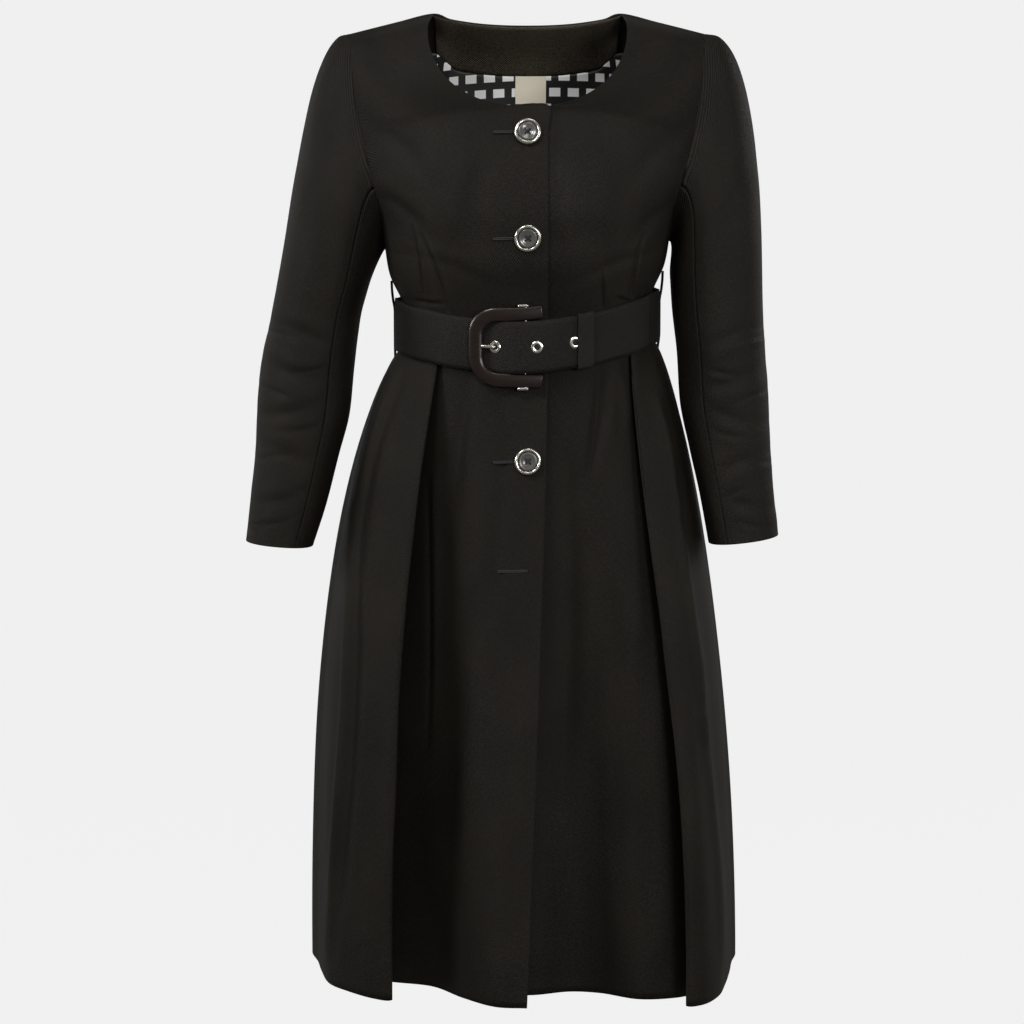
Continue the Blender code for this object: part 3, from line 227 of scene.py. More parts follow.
# Flutes of the skirt's back, from the right side seam to the left. "angle" is the place on the waist in
# degrees from the centre back, "hem" and "behind" are the place at the hem.
BACK_FLUTES = columns(
    ("name", "angle", "hem", "behind", "start", "ease", "cells"),
    (
        ("right seam", -90, -0.2100, 0.0000, 0.75, 2.3, 1),
        ("right swell in", -84, -0.2122, 0.0140, 0.75, 2.3, 1),
        ("right swell", -75, -0.2205, 0.0600, 0.75, 2.3, 2),
        ("right turn", -64, -0.2020, 0.1050, 0.9, 2.2, 2),
        ("right fall", -50, -0.1600, 0.1340, 1.0, 2.0, 2),
        ("right ridge", -36, -0.1160, 0.1530, 1.0, 1.8, 2),
        ("right hollow", -23, -0.0760, 0.1490, 1.0, 1.8, 2),
        ("centre right ridge", -11, -0.0370, 0.1670, 1.0, 1.6, 2),
        ("centre hollow", 0, 0.0000, 0.1590, 1.0, 1.6, 2),
        ("centre left ridge", 11, 0.0370, 0.1660, 1.0, 1.6, 2),
        ("left hollow", 23, 0.0750, 0.1480, 1.0, 1.8, 2),
        ("left ridge", 36, 0.1140, 0.1530, 1.0, 1.8, 2),
        ("left fall", 50, 0.1560, 0.1330, 1.0, 2.0, 2),
        ("left turn", 64, 0.1960, 0.1030, 0.9, 2.0, 2),
        ("left swell", 75, 0.2145, 0.0560, 0.75, 1.75, 1),
        ("left swell in", 84, 0.2085, 0.0140, 0.75, 1.75, 1),
        ("left seam", 90, 0.2065, 0.0000, 0.75, 1.75, 0),
    ),
)

# Belt, measured along the waist from the centre front, out from the waist's ring and up from its middle line
BELT_WIDTH = 0.0500
WAIST_SEAM_UP = 0.0175
BELT_WALL = 0.0024
BELT_SIDE_HEIGHT = -0.2885
BELT_FRONT_DIP = 0.0230
BELT_BACK_RISE = 0.0120
WAIST_LEAN = 0.0045
LEAN_BELOW = (-0.62, -0.36)
LEAN_ABOVE = (-0.25, -0.12)
DIP_FADE = (-0.250, -0.205)
ABOVE_BELT = 0.0015
BELOW_BELT = 0.0005
BELT_RING = -0.2900
BELT_OUT = 0.0062
BELT_END = 0.0030
TONGUE_END = 0.1240
TONGUE_OUT = 0.0091
UNDER_FRAME_OUT = 0.0044
OVER_BAR_OUT = 0.0113
BELT_OUT_PLACES = (-0.10, -0.0780, -0.0570, -0.0415, -0.0060, 0.0040, 0.0400, 0.20)
KEEPER_PLACE = 0.0535
KEEPER_WIDTH = 0.0145
KEEPER_WALL = 0.0013
KEEPER_LOW = 0.0032
KEEPER_HIGH = 0.0130
KEEPER_ROOM = 0.0010
KEEPER_SOFTNESS = 0.16
CARRIER_WIDTH = 0.0070
CARRIER_WALL = 0.0022
CARRIER_TOP = -0.2460
CARRIER_FOOT = -0.3240

# Buckle and eyelets, with the buckle's frame a little wider and rounder than its solid
FRAME_LEFT = -0.0487
FRAME_RIGHT = 0.0135
FRAME_HALF_HEIGHT = 0.0315
FRAME_CORNER = 0.0210
FRAME_WIDTH = 0.0118
FRAME_LOOK_HALF_WIDTH = 0.006608
FRAME_ROUNDNESS = 0.80
FRAME_FLARE = 0.0012
FRAME_STEP = 0.0004
FRAME_BACK = 0.0060
FRAME_WALL = 0.0052
BAR_PLACE = -0.0020
BAR_OUT = 0.0082
BAR_RADIUS = 0.0015
PRONG_RADIUS = 0.0013
EYELET_PLACES = (-0.0305, 0.0087, 0.0443)
EYELET_HOLE = 0.0027

# Buttons, and the small radius that a turned outline keeps at its axis
BUTTON_HEIGHTS = (-0.1070, -0.2070, -0.4215)
BUTTON_RADIUS = 0.0135
BUTTON_FACE_RADIUS = 0.0092
BUTTON_WALL = 0.0048
BUTTON_GAP = 0.0006
BUTTON_DISH = 0.0022
BUTTON_HOLE_SPREAD = 0.0022
BUTTON_HOLE_RADIUS = 0.0010
BUTTON_THREAD_RADIUS = 0.0005
BUTTON_THREAD_LIFT = 0.0003
PIVOT = 0.00002

# Creases of the cloth as seen from the front or the back, in millimetres: the ends, how far the middle bows
# aside, the width, and the depth, which is below 0 for a trough
CREASES = {
    "bodice_front_right": (
        (-111, -198, -100, -267, 2, 1.8, -2.6),
        (-103, -204, -76, -278, 3, 2.0, -3.0),
        (-108, -268, -80, -270, -1, 2.0, -1.7),
        (-160, -96, -90, -158, 9, 8.0, -2.0),
        (-148, -165, -94, -209, 6, 6.0, -1.6),
        (-122, -222, -34, -252, 5, 5.0, -0.9),
        (-60, -130, -66, -220, -4, 10.0, 2.0),
    ),
    "bodice_front_left": (
        (110, -206, 100, -270, -2, 1.8, -2.6),
        (70, -240, 72, -279, 1, 1.9, -2.4),
        (85, -265, 101, -272, 1, 2.0, -1.7),
        (164, -98, 98, -160, -8, 8.0, -1.9),
        (152, -168, 99, -212, -6, 6.0, -1.5),
        (122, -221, 45, -250, -4, 5.0, -0.9),
        (66, -120, 72, -215, 5, 10.0, 2.0),
    ),
    "bodice_back": (
        (-120, -180, -40, -262, 6, 9.0, -3.1),
        (118, -185, 44, -262, -6, 9.0, -3.1),
        (-62, -120, -54, -250, 3, 8.0, -2.4),
        (60, -125, 52, -250, -3, 8.0, -2.4),
    ),
    "skirt_front_left": (
        (69, -330, 53, -458, 5, 6.0, -5.1),
        (86, -333, 96, -396, 3, 5.5, 3.1),
        (80, -555, 90, -851, 5, 9.0, -3.4),
        (108, -603, 119, -878, -4, 10.0, -4.1),
        (40, -420, 30, -760, 6, 9.0, -2.7),
        (137, -404, 165, -602, 6, 6.0, -2.7),
        (172, -520, 186, -860, 4, 7.0, -3.1),
        (126, -365, 147, -475, 3, 4.0, 4.2),
        (146, -462, 172, -690, 2, 4.5, 4.6),
        (171, -670, 192, -915, 3, 4.5, 4.6),
    ),
    "skirt_front_right": (
        (-97, -440, -99, -714, 3, 3.0, -2.6),
        (-55, -345, -70, -478, -4, 7.0, -3.4),
        (-26, -365, -36, -574, 4, 8.0, -2.7),
        (-62, -560, -70, -880, -5, 10.0, -3.4),
        (-144, -385, -172, -582, -4, 6.0, -2.7),
        (-168, -500, -186, -860, 5, 7.0, -3.1),
        (-128, -340, -172, -480, -4, 4.0, 4.2),
        (-172, -470, -199, -915, 5, 4.5, 4.6),
    ),
    "skirt_back": (
        (-70, -330, -120, -640, 8, 9.0, -3.4),
        (66, -330, 112, -660, -8, 9.0, -3.4),
        (10, -360, 16, -760, 6, 9.0, -2.7),
    ),
    "sleeve_upper_right": (
        (-250, -292, -180, -322, 5, 6.0, -1.7),
        (-262, -326, -186, -348, -4, 6.5, -1.8),
        (-262, -380, -192, -362, -5, 6.0, -1.5),
        (-262, -410, -200, -436, 4, 6.5, -1.5),
        (-268, -466, -208, -452, -3, 6.0, -1.3),
        (-226, -120, -196, -240, 8, 10.0, -1.3),
        (-178, -60, -190, -170, -6, 8.0, -1.0),
        (-262, -300, -222, -306, 2, 3.0, -0.9),
        (-230, -338, -186, -330, -2, 3.2, -1.0),
        (-266, -352, -226, -366, 2, 3.0, -0.9),
        (-240, -396, -196, -388, -2, 3.4, -1.0),
        (-266, -424, -232, -418, 1, 3.0, -0.8),
        (-236, -446, -204, -464, 2, 3.2, -0.8),
        (-270, -488, -228, -480, -1, 3.0, -0.7),
    ),
    "sleeve_upper_left": (
        (236, -304, 200, -310, -2, 3.0, -0.9),
        (206, -340, 168, -332, 2, 3.2, -1.0),
        (238, -356, 202, -368, -2, 3.0, -0.9),
        (214, -400, 174, -392, 2, 3.4, -1.0),
        (240, -428, 208, -422, -1, 3.0, -0.8),
        (212, -450, 178, -468, -2, 3.2, -0.8),
        (244, -490, 204, -482, 1, 3.0, -0.7),
        (232, -294, 166, -320, -5, 6.0, -1.5),
        (233, -330, 168, -354, 4, 6.5, -1.8),
        (236, -388, 172, -368, 5, 6.0, -1.5),
        (238, -416, 176, -442, -4, 6.5, -1.5),
        (242, -470, 176, -454, 3, 6.0, -1.3),
        (220, -130, 188, -240, -8, 10.0, -1.3),
        (180, -60, 190, -165, 6, 8.0, -1.0),
    ),
    "sleeve_under_right": (
        (-176, -300, -214, -330, 3, 6.0, -1.2),
        (-186, -390, -226, -372, -3, 6.0, -1.0),
    ),
    "sleeve_under_left": (
        (152, -302, 190, -330, -3, 6.0, -1.2),
        (160, -392, 200, -374, 3, 6.0, -1.0),
    ),
}

# How far the cloth waves over its whole face, how wide those waves are, and how many are added up
DRIFT = 0.0008
DRIFT_SIZE = 0.11
DRIFT_WAVES = 6

# Seam allowance of a sleeve: how far it turns under the bodice, how far in, and the point that it turns to
ALLOWANCE = 0.0050
ALLOWANCE_IN = 0.0032
ALLOWANCE_AIM = (0.0, 0.005, -0.115)

# Swell beside a crease: its place and width in widths of the crease, and its share of the depth
SWELL_PLACE = 1.9
SWELL_WIDTH = 1.2
SWELL_SHARE = 0.45

# Share of its creases that cloth keeps where it faces away, and the strip at an edge over which they fade
TURNED_AWAY_SHARE = 0.12
EDGE_FADE = 0.014

# Rows and columns of the shells for each one of the solids, and for the fronts and sleeves down and across
FINENESS = 8
BODICE_FRONT_FINENESS = (12, 15)
SLEEVE_FINENESS = (8, 5)

# Weave: the width of a rib, how fine its threads and its slow paler areas of painted sheen are, and the
# streaks of the horn
TWILL_RIB = 0.0024
WARP_FINENESS = (560, 260, 260)
WEFT_FINENESS = (260, 560, 560)
SHEEN_PATCH_FINENESS = (13, 9, 9)
HORN_FINENESS = (60, 60, 220)

# Heights between which the upper back turns smooth, and how far the lining keeps clear below them
SMOOTH_YOKE = (-0.160, -0.120)
LINING_EASE = 0.0004

# Bright ends of the buckle's bar: the length along the frame, then from where to where they lie up from the
# belt's middle line and out from the waist's ring
CLIP_LENGTH = 0.0100
CLIP_UP = (0.0386, 0.0410)
CLIP_OUT = (0.0068, 0.0104)

# Buttonholes on the right front: both ends from the centre line, and the height
BUTTONHOLES = (
    *((-0.0330, -0.0135, height) for height in BUTTON_HEIGHTS),
    (-0.0290, 0.0000, -0.5266),
)
BUTTONHOLE_THREAD = 0.0007

# Camera, stage, how far below the origin the lights aim, and the light from all round
CAMERA_AIM = (-0.015, 0.0, -0.4815)
CAMERA_DISTANCE = 3.0
CAMERA_ELEVATION = 6.0
CAMERA_LENS = 105.47
FLOOR_HEIGHT = -1.30
STAGE_REACH = 9.0
STAGE_BACK = 3.0
STAGE_BEND = 2.0
STAGE_TOP = 8.0
LIGHT_AIM_DROP = 0.45
WORLD_STRENGTH = 0.26

# Square lights: the place, the size and the power in watts
LIGHTS = (
    ("left", (-2.5, -0.9, 0.5), 0.7, 44),
    ("right", (2.4, -1.2, 0.3), 0.9, 24),
    ("key", (-1.1, -1.6, 1.7), 0.6, 36),
    ("front", (1.2, -2.9, 0.2), 0.8, 42),
    ("top", (0.3, -0.9, 1.9), 0.6, 10),
    ("back left", (-2.2, 2.0, 0.3), 0.9, 8),
    ("back right", (2.2, 2.0, 0.3), 0.9, 12),
)


def unit(vectors):
    """The same directions with a length of 1."""
    return vectors / np.linalg.norm(vectors, axis=-1, keepdims=True)


def powered(value, power):
    """A power of a value's size, with the value's own sign."""
    return np.sign(value) * np.abs(value) ** power


def fullness(angle, squareness):
    """Share of its full depth that a squared-off oval has at an angle from its middle."""
    return np.clip(1 - np.abs(np.sin(angle)) ** squareness, 0, 1) ** (1 / squareness)


def lengths_along(points, axis=0):
    """Distance of each point from the first one, along one axis of an array of points."""
    steps = np.cumsum(np.linalg.norm(np.diff(points, axis=axis), axis=-1), axis=axis)
    return np.concatenate([0 * steps.take([0], axis=axis), steps], axis=axis)


def bridge(t, start, start_pull, end, end_pull):
    """Point at a share of the way along a cubic curve, from its ends and the pulls there."""
    near = start * (2 * t**3 - 3 * t**2 + 1) + start_pull * (t**3 - 2 * t**2 + t)
    return near + (end * (3 * t**2 - 2 * t**3) + end_pull * (t**3 - t**2))


def smooth(keys, values, at):
    """Monotone cubic through a table's values, its keys in rising order."""
    step = np.diff(keys)
    rise = np.diff(values) / step
    slope = np.empty(len(values))
    slope[0] = rise[0]
    slope[-1] = rise[-1]
    same_way = rise[:-1] * rise[1:] > 0
    total = np.where(same_way, rise[:-1] + rise[1:], 1.0)
    slope[1:-1] = np.where(same_way, 2 * rise[:-1] * rise[1:] / total, 0.0)
    at = np.clip(np.asarray(at, float), keys[0], keys[-1])
    spot = np.clip(np.searchsorted(keys, at) - 1, 0, len(step) - 1)
    share = (at - keys[spot]) / step[spot]
    far = share * share * (3 - 2 * share)
    near_pull = share * (1 - share) ** 2
    far_pull = share * share * (share - 1)
    bend = slope[spot] * near_pull + slope[spot + 1] * far_pull
    return values[spot] * (1 - far) + values[spot + 1] * far + step[spot] * bend


def ramp(low, high, at):
    """Soft step from 0 at low to 1 at high."""
    share = np.clip((np.asarray(at, float) - low) / (high - low), 0, 1)
    return share * share * (3 - 2 * share)


def curve_through(points, cells):
    """Smooth curve through points (n, 3), with the given number of strips between each pair."""
    gaps = np.sqrt(np.linalg.norm(np.diff(points, axis=0), axis=1))
    slopes = np.diff(points, axis=0) / gaps[:, None]
    pulls = np.empty_like(points)
    pulls[0] = slopes[0]
    pulls[-1] = slopes[-1]
    before = gaps[:-1, None]
    after = gaps[1:, None]
    pulls[1:-1] = (slopes[:-1] * after + slopes[1:] * before) / (before + after)
    out = []
    for place, gap in enumerate(gaps):
        for cell in range(int(cells[place])):
            pair = points[place : place + 2]
            pull = pulls[place : place + 2] * gap
            out.append(bridge(cell / cells[place], pair[0], pull[0], pair[1], pull[1]))
    out.append(points[-1])
    return np.array(out)


def waist_dip(angle, back):
    """How far the waist's own level lies above its level at the sides."""
    share = np.cos(angle) ** 2
    return BELT_BACK_RISE * share if back else -BELT_FRONT_DIP * share


def belt_level(angle, back):
    """Height of the belt's middle line."""
    return BELT_SIDE_HEIGHT + waist_dip(angle, back)


def belt_top(angle, back):
    """Height just above the belt's upper edge."""
    return belt_level(angle, back) + BELT_WIDTH / 2 + ABOVE_BELT


def waist_seam(angle, back):
    """Height of the seam between bodice and skirt, which lies under the belt."""
    return belt_level(angle, back) + WAIST_SEAM_UP


def ridge(across):
    """Height of the shoulder line at a distance from the centre."""
    beyond = np.abs(across) - RIDGE_BREAK
    return RIDGE_HEIGHT - SHOULDER_SLOPE * 0.5 * (beyond + np.sqrt(beyond**2 + RIDGE_ROUNDING**2))


def turn_of(drop, cap):
    """Angle of the rounded shoulder at a drop below its ridge, then the drop itself in the same measure."""
    near = np.arccos(np.clip(1 - drop / cap, 0, 1))
    return np.where(drop < cap, near, math.pi / 2 + (drop - cap) / cap)


def drop_of(turn, cap):
    """The drop below the ridge that has this turn."""
    return np.where(turn < math.pi / 2, cap * (1 - np.cos(turn)), cap * (1 + turn - math.pi / 2))


def section(angle, height, back):
    """Half width, depth and squareness of the bodice here, its waist following the belt's dip."""
    level = height - waist_dip(angle, back) * (1 - ramp(*DIP_FADE, height))
    depth = "back_depth" if back else "front_depth"
    return [smooth(TORSO["height"], TORSO[name], level) for name in ("half_width", depth, "squareness")]


def angle_at(across, height, back):
    """Angle from the centre line of the point at this distance from it."""
    angle = 0.0
    for _ in range(3):
        half_width = section(angle, height, back)[0]
        angle = np.arcsin(np.clip(across / half_width, -1, 1))
    return angle


def torso(angle, height, back=False):
    """Point of the bodice's middle surface."""
    half_width, depth, squareness = section(angle, height, back)
    across = half_width * np.sin(angle)
    cap = BACK_CAP if back else FRONT_CAP
    rounding = np.sin(np.minimum(turn_of(np.maximum(ridge(across) - height, 0), cap), math.pi / 2))
    away = SEAM_GAP / 2 + depth * fullness(angle, squareness) * rounding
    return np.stack([across, away if back else -away, height + 0 * across], axis=-1)


def level_normal(angle, height, back=False):
    """Direction straight out from the bodice's level section."""
    half_width, depth, squareness = section(angle, height, back)
    sideways = powered(np.sin(angle), squareness - 1) / half_width
    outward = fullness(angle, squareness) ** (squareness - 1) / depth
    return unit(np.stack([sideways, outward if back else -outward, 0 * sideways], axis=-1))


def spaced(path, count, back=False):
    """Points of a path of (angle, height), evenly spaced along the cloth."""
    places = torso(path[:, 0], path[:, 1], back)
    along = lengths_along(places)
    wanted = np.linspace(0, along[-1], count + 1)
    return np.stack([np.interp(wanted, along, path[:, place]) for place in (0, 1)], axis=-1)


def side_path(back, seam_rows, armhole_rows):
    """Side seam from the belt, then the armhole to the shoulder point, as rows of (angle, height)."""
    seam_heights = np.linspace(belt_top(math.pi / 2, back), ARMHOLE["height"][0], 30)
    seam = np.stack([np.full(30, math.pi / 2), seam_heights], axis=-1)
    heights = ARMHOLE["height"][0] + (ARMHOLE["height"][-1] - ARMHOLE["height"][0]) * np.linspace(0, 1, 90)
    across = smooth(ARMHOLE["height"], ARMHOLE["back" if back else "front"], heights)
    heights[-1] = ridge(across[-1])
    angles = angle_at(across, heights, back)
    angles[0] = math.pi / 2
    armhole = np.stack([angles, heights], axis=-1)
    return np.concatenate([spaced(seam, seam_rows, back)[:-1], spaced(armhole, armhole_rows, back)])


def neck_path(edge_rows, neck_rows):
    """Front edge from the belt, then the neckline to the shoulder, as rows of (angle, height)."""
    spread = np.linspace(math.asin(-LAP / NECK_HALF_WIDTH), math.pi / 2, 60)
    across = NECK_HALF_WIDTH * np.sin(spread)
    heights = -NECK_FRONT_DROP * fullness(spread, NECK_SQUARENESS)
    across = np.append(across, NECK_POINT)
    heights = np.append(heights, ridge(NECK_POINT))
    neck = np.stack([angle_at(across, heights, False), heights], axis=-1)
    foot = belt_top(neck[0, 0], False)
    edge_heights = np.linspace(foot, heights[0], 40)
    edge = np.stack([angle_at(np.full(40, -LAP), edge_heights, False), edge_heights], axis=-1)
    return np.concatenate([spaced(edge, edge_rows)[:-1], spaced(neck, neck_rows)])


def panel_between(angles, start_turn, end_turn, top, shares, back):
    """Bodice panel from the belt to a top line, between two side edges, with a strip under the belt."""
    cap = BACK_CAP if back else FRONT_CAP
    rows = np.linspace(0, 1, len(angles))[:, None]
    heights = np.full(angles.shape, -0.15)
    for _ in range(6):
        across = section(angles, heights, back)[0] * np.sin(angles)
        foot_turn = turn_of(ridge(across[0]) - belt_top(angles[0], back), cap)
        top_turn = turn_of(np.maximum(ridge(across[-1]) - top(across[-1]), 0), cap)
        between = start_turn[:, None] * (1 - shares) + end_turn[:, None] * shares
        foot_bend = foot_turn - (foot_turn[0] * (1 - shares) + foot_turn[-1] * shares)
        top_bend = top_turn - (top_turn[0] * (1 - shares) + top_turn[-1] * shares)
        turn = between + (1 - rows) ** 2 * foot_bend + rows**2 * top_bend
        heights = ridge(across) - drop_of(np.maximum(turn, 0), cap)
    seam_heights = waist_seam(angles[:1], back) + SEAM_GAP / 2
    strip = torso(angles[:1], seam_heights, back)
    return np.concatenate([strip, torso(angles, heights, back)])


def path_turns(path, back):
    """Turn of each row of a path of (angle, height)."""
    across = torso(path[:, 0], path[:, 1], back)[:, 0]
    return turn_of(np.maximum(ridge(across) - path[:, 1], 0), BACK_CAP if back else FRONT_CAP)


def bodice_front(side, across_cells=10):
    """Middle surface of one bodice front. The left one steps in where it laps under the right one."""
    seam_rows = 2
    neck_rows = 6
    inner = neck_path(seam_rows + FRONT_ARMHOLE_STRIPS - neck_rows, neck_rows)
    outer = side_path(False, seam_rows, FRONT_ARMHOLE_STRIPS)
    shares = np.linspace(0, 1, across_cells + 1)
    angles = inner[:, :1] * (1 - shares) + outer[:, :1] * shares
    turns = [path_turns(path, False) for path in (inner, outer)]
    grid = panel_between(angles, *turns, ridge, shares, False)
    if side == LEFT:
        step = LAP_STEP * (1 - ramp(*LAP_FADE, grid[..., 0]))
        grid = moved_out(grid, -step)
    grid[..., 0] *= side
    return grid


def back_top(across):
    """Top of the bodice's back: the neckline, then the shoulder seams."""
    share = np.clip(np.abs(across) / NECK_POINT, 0, 1) ** NECK_BACK_CURVE
    neckline = NECK_BACK_HEIGHT + (ridge(NECK_POINT) - NECK_BACK_HEIGHT) * share
    return np.where(np.abs(across) < NECK_POINT, neckline, ridge(across))


def bodice_back(shoulder_cells=3, neck_cells=10):
    """Middle surface of the bodice back."""
    outer = side_path(True, 2, BACK_ARMHOLE_STRIPS)
    neck_share = angle_at(NECK_POINT, ridge(NECK_POINT), True) / outer[-1, 0]
    shoulder = np.linspace(-1, -neck_share, shoulder_cells + 1)
    neck = np.linspace(-neck_share, neck_share, neck_cells + 1)
    shares = np.concatenate([shoulder[:-1], neck, -shoulder[::-1][1:]])
    turns = path_turns(outer, True)
    return panel_between(outer[:, :1] * shares, turns, turns, back_top, (shares + 1) / 2, True)


def armhole_ring(side, strips):
    """Points round the armhole, counted in strips from the shoulder, above 0 at the front."""
    front = side_path(False, 1, FRONT_ARMHOLE_STRIPS)[1:]
    back = side_path(True, 1, BACK_ARMHOLE_STRIPS)[1:]
    ring = np.concatenate([torso(back[:, 0], back[:, 1], True), torso(front[:, 0], front[:, 1])[::-1][1:]])
    places = np.arange(len(ring)) - BACK_ARMHOLE_STRIPS
    points = np.stack([np.interp(strips, places, ring[:, axis]) for axis in range(3)], axis=-1)
    points[:, 0] += HEAD_OUT + ARMPIT_OUT * (1 - np.cos(strip_angles(strips))) / 2
    points[:, 0] *= side
    return points


def strip_angles(strips):
    """Angle round the sleeve for places counted in strips: 0 outside, a quarter turn at the front."""
    whole = np.where(strips > 0, FRONT_ARMHOLE_STRIPS, BACK_ARMHOLE_STRIPS)
    return math.pi * strips / whole


def sleeve_section(side, table, angles, height):
    """Ring of one sleeve at a height of its middle line."""
    sizes = [smooth(-table["height"], table[name], -height) for name in SLEEVE_COLUMNS[1:]]
    outer, inner, forward, depth = sizes
    half_width = (outer - inner - WALL) / 2
    half_depth = (depth - WALL) / 2
    power = 2 / SLEEVE_SQUARENESS
    sideways = powered(np.cos(angles), power) * half_width
    frontward = powered(np.sin(angles), power) * half_depth
    tilt = CUFF_SLOPE * (height - table["height"][0]) / (table["height"][-1] - table["height"][0])
    x = side * ((outer + inner) / 2 + sideways)
    return np.stack([x, -forward - frontward, height + tilt * sideways], axis=-1)


def sleeve_panel(side, table, strips):
    """Middle surface of a sleeve panel over some of the strips round the arm."""
    strips = np.array(strips, float)
    strips[0] += SEAM_SHARE
    strips[-1] -= SEAM_SHARE
    angles = strip_angles(strips)
    ring = armhole_ring(side, strips)
    top, cuff = table["height"][[0, -1]]
    first = sleeve_section(side, table, angles, top)
    below = unit(sleeve_section(side, table, angles, top - 0.01) - first)
    span = np.linalg.norm(first - ring, axis=-1, keepdims=True)
    lean = np.radians(SHOULDER_LEAN + ARMPIT_LEAN * ((1 - np.cos(angles)) / 2) ** 2)
    leave = np.stack([side * np.cos(lean), 0 * lean, -np.sin(lean)], axis=-1)
    reach = span * (RIGHT_SLEEVE_REACH if side == RIGHT else LEFT_SLEEVE_REACH)
    rows = []
    for row in range(HEAD_ROWS):
        rows.append(bridge((row / HEAD_ROWS) ** HEAD_ROW_EASE, ring, leave * reach, first, below * span))
    for height in np.linspace(top, cuff, ARM_ROWS + 1):
        rows.append(sleeve_section(side, table, angles, height))
    return np.array(rows)


def skirt_panel(angles, stacks, hems, drops, table, back, rows):
    """Middle surface of a skirt panel: at the waist on the bodice's ring, then along each fold to the hem."""
    outward = level_normal(angles, np.full(len(angles), BELT_RING), back) * stacks[:, None]
    belt_foot = belt_level(angles, back) - BELT_WIDTH / 2 - BELOW_BELT
    top = torso(angles, waist_seam(angles, back) - SEAM_GAP / 2, back) + outward
    foot = torso(angles, belt_foot, back) + outward
    lines = [top, (top + foot) / 2]
    for down in np.linspace(0, 1, rows + 1) ** SKIRT_ROW_EASE:
        share = 1 - (1 - down ** table["start"]) ** table["ease"]
        line = foot.copy()
        line[:, :2] += (hems - foot[:, :2]) * share[:, None]
        line[:, 2] += (HEM_HEIGHT - drops - belt_foot) * down
        lines.append(line)
    return np.array([curve_through(line, table["cells"]) for line in lines])


def skirt_front(side, table, rows=12):
    """Middle surface of one skirt front with its pleat."""
    angles = angle_at(table["waist"], np.full(len(table["waist"]), BELT_RING), False)
    hems = np.stack([table["hem"], -np.maximum(table["forward"], SEAM_GAP / 2)], axis=-1)
    grid = skirt_panel(angles, table["stack"], hems, table["drop"], table, False, rows)
    grid[..., 0] *= side
    return grid


def skirt_back(rows=12, table=BACK_FLUTES):
    """Middle surface of the skirt back."""
    angles = np.radians(table["angle"].astype(float))
    hems = np.stack([table["hem"], np.maximum(table["behind"], SEAM_GAP / 2)], axis=-1)
    none = np.zeros(len(angles))
    return skirt_panel(angles, none, hems, none, table, True, rows)


def normals_of(grid, turn):
    """Unit normals of a grid of points (rows, columns, 3), level where front and back meet in a seam."""
    down = np.gradient(grid, axis=0)
    along = np.gradient(grid, axis=1, edge_order=2)
    normal = np.cross(along, down)
    on_seam = np.abs(grid[..., 1]) < SEAM_GAP
    normal[..., 1] = np.where(on_seam, 0, normal[..., 1])
    return turn * unit(normal)


def moved_out(grid, distance):
    """A grid of points moved away from the coat's upright axis along its normals."""
    return grid + normals_of(grid, outward_turn(grid)) * np.asarray(distance)[..., None]


def outward_turn(grid):
    """The turn that makes a grid's normals point away from the coat's upright axis."""
    row = len(grid) // 2
    return 1 if grid[row, 1, :2] @ normals_of(grid, 1)[row, 1, :2] > 0 else -1


def leaning(points):
    """The points with the waist let down a little at the wearer's right and up at the left."""
    points = np.array(points, float)
    near_waist = ramp(*LEAN_BELOW, points[:, 2]) - ramp(*LEAN_ABOVE, points[:, 2])
    points[:, 2] += WAIST_LEAN * points[:, 0] / TORSO["half_width"][2] * near_waist
    return points


def waist_measure():
    """Distances along the waist's ring from its right side, through the front, then back along the back."""
    half = np.linspace(-math.pi / 2, math.pi / 2, 361)
    front, back = [torso(half, BELT_RING + waist_dip(half, behind), behind) for behind in (False, True)]
    angles = np.concatenate([half, math.pi - half[::-1][1:]])
    along = lengths_along(np.concatenate([front, back[::-1][1:]])[:, :2])
    return along, angles, np.interp(0, half, along[:361]), along[-1]


WAIST_ALONG, WAIST_ANGLES, WAIST_CENTRE, WAIST_LENGTH = waist_measure()


def on_waist(along, out, up):
    """Point near the waist: distance along it from the centre front, out from its ring, up its height."""
    along, out, up = np.broadcast_arrays(np.asarray(along, float), out, up)
    angle = np.interp(np.mod(along + WAIST_CENTRE, WAIST_LENGTH), WAIST_ALONG, WAIST_ANGLES)
    points = np.empty(along.shape + (3,))
    for back in (False, True):
        here = (np.cos(angle) < 0) == back
        turn = np.where(angle > math.pi / 2, math.pi - angle, angle)[here]
        height = BELT_RING + waist_dip(turn, back)
        base = torso(turn, height, back) + level_normal(turn, height, back) * out[here][..., None]
        base[..., 2] = belt_level(turn, back) + up[here]
        points[here] = base
    return points


def belt_out(along):
    """How far the belt's middle lies out from the waist's ring, along its whole length."""
    round_front = along - WAIST_LENGTH
    values = np.repeat([BELT_OUT, UNDER_FRAME_OUT, OVER_BAR_OUT, TONGUE_OUT], 2)
    return smooth(np.array(BELT_OUT_PLACES), values, round_front)


def skirt_side_reach(side, height):
    """How far out the skirt's middle surface comes beside the side seam at a height."""
    front = skirt_front(side, RIGHT_FOLDS if side == RIGHT else LEFT_FOLDS)[:, -2:]
    back = skirt_back()[:, :2] if side == RIGHT else skirt_back()[:, -2:]
    lines = np.concatenate([front, back], axis=1)
    return max(np.interp(-height, -lines[:, col, 2], side * lines[:, col, 0]) for col in range(4))


def panel_axes(grid, height):
    """Point on a panel's outer face at the centre line and a height, with directions across, up and out."""
    points, facing = front_line(grid, [0.0], height)
    out = unit(facing[0])
    first = unit(np.cross(out, [0.0, 0.0, 1.0]))
    return points[0] + out * WALL / 2, (first, np.cross(out, first), out)


def inside_back():
    """The bodice back's points moved in, for the facing and the lining."""
    return moved_out(bodice_back(), -(WALL / 2 + INSIDE_WALL / 2 + SEAM_GAP))


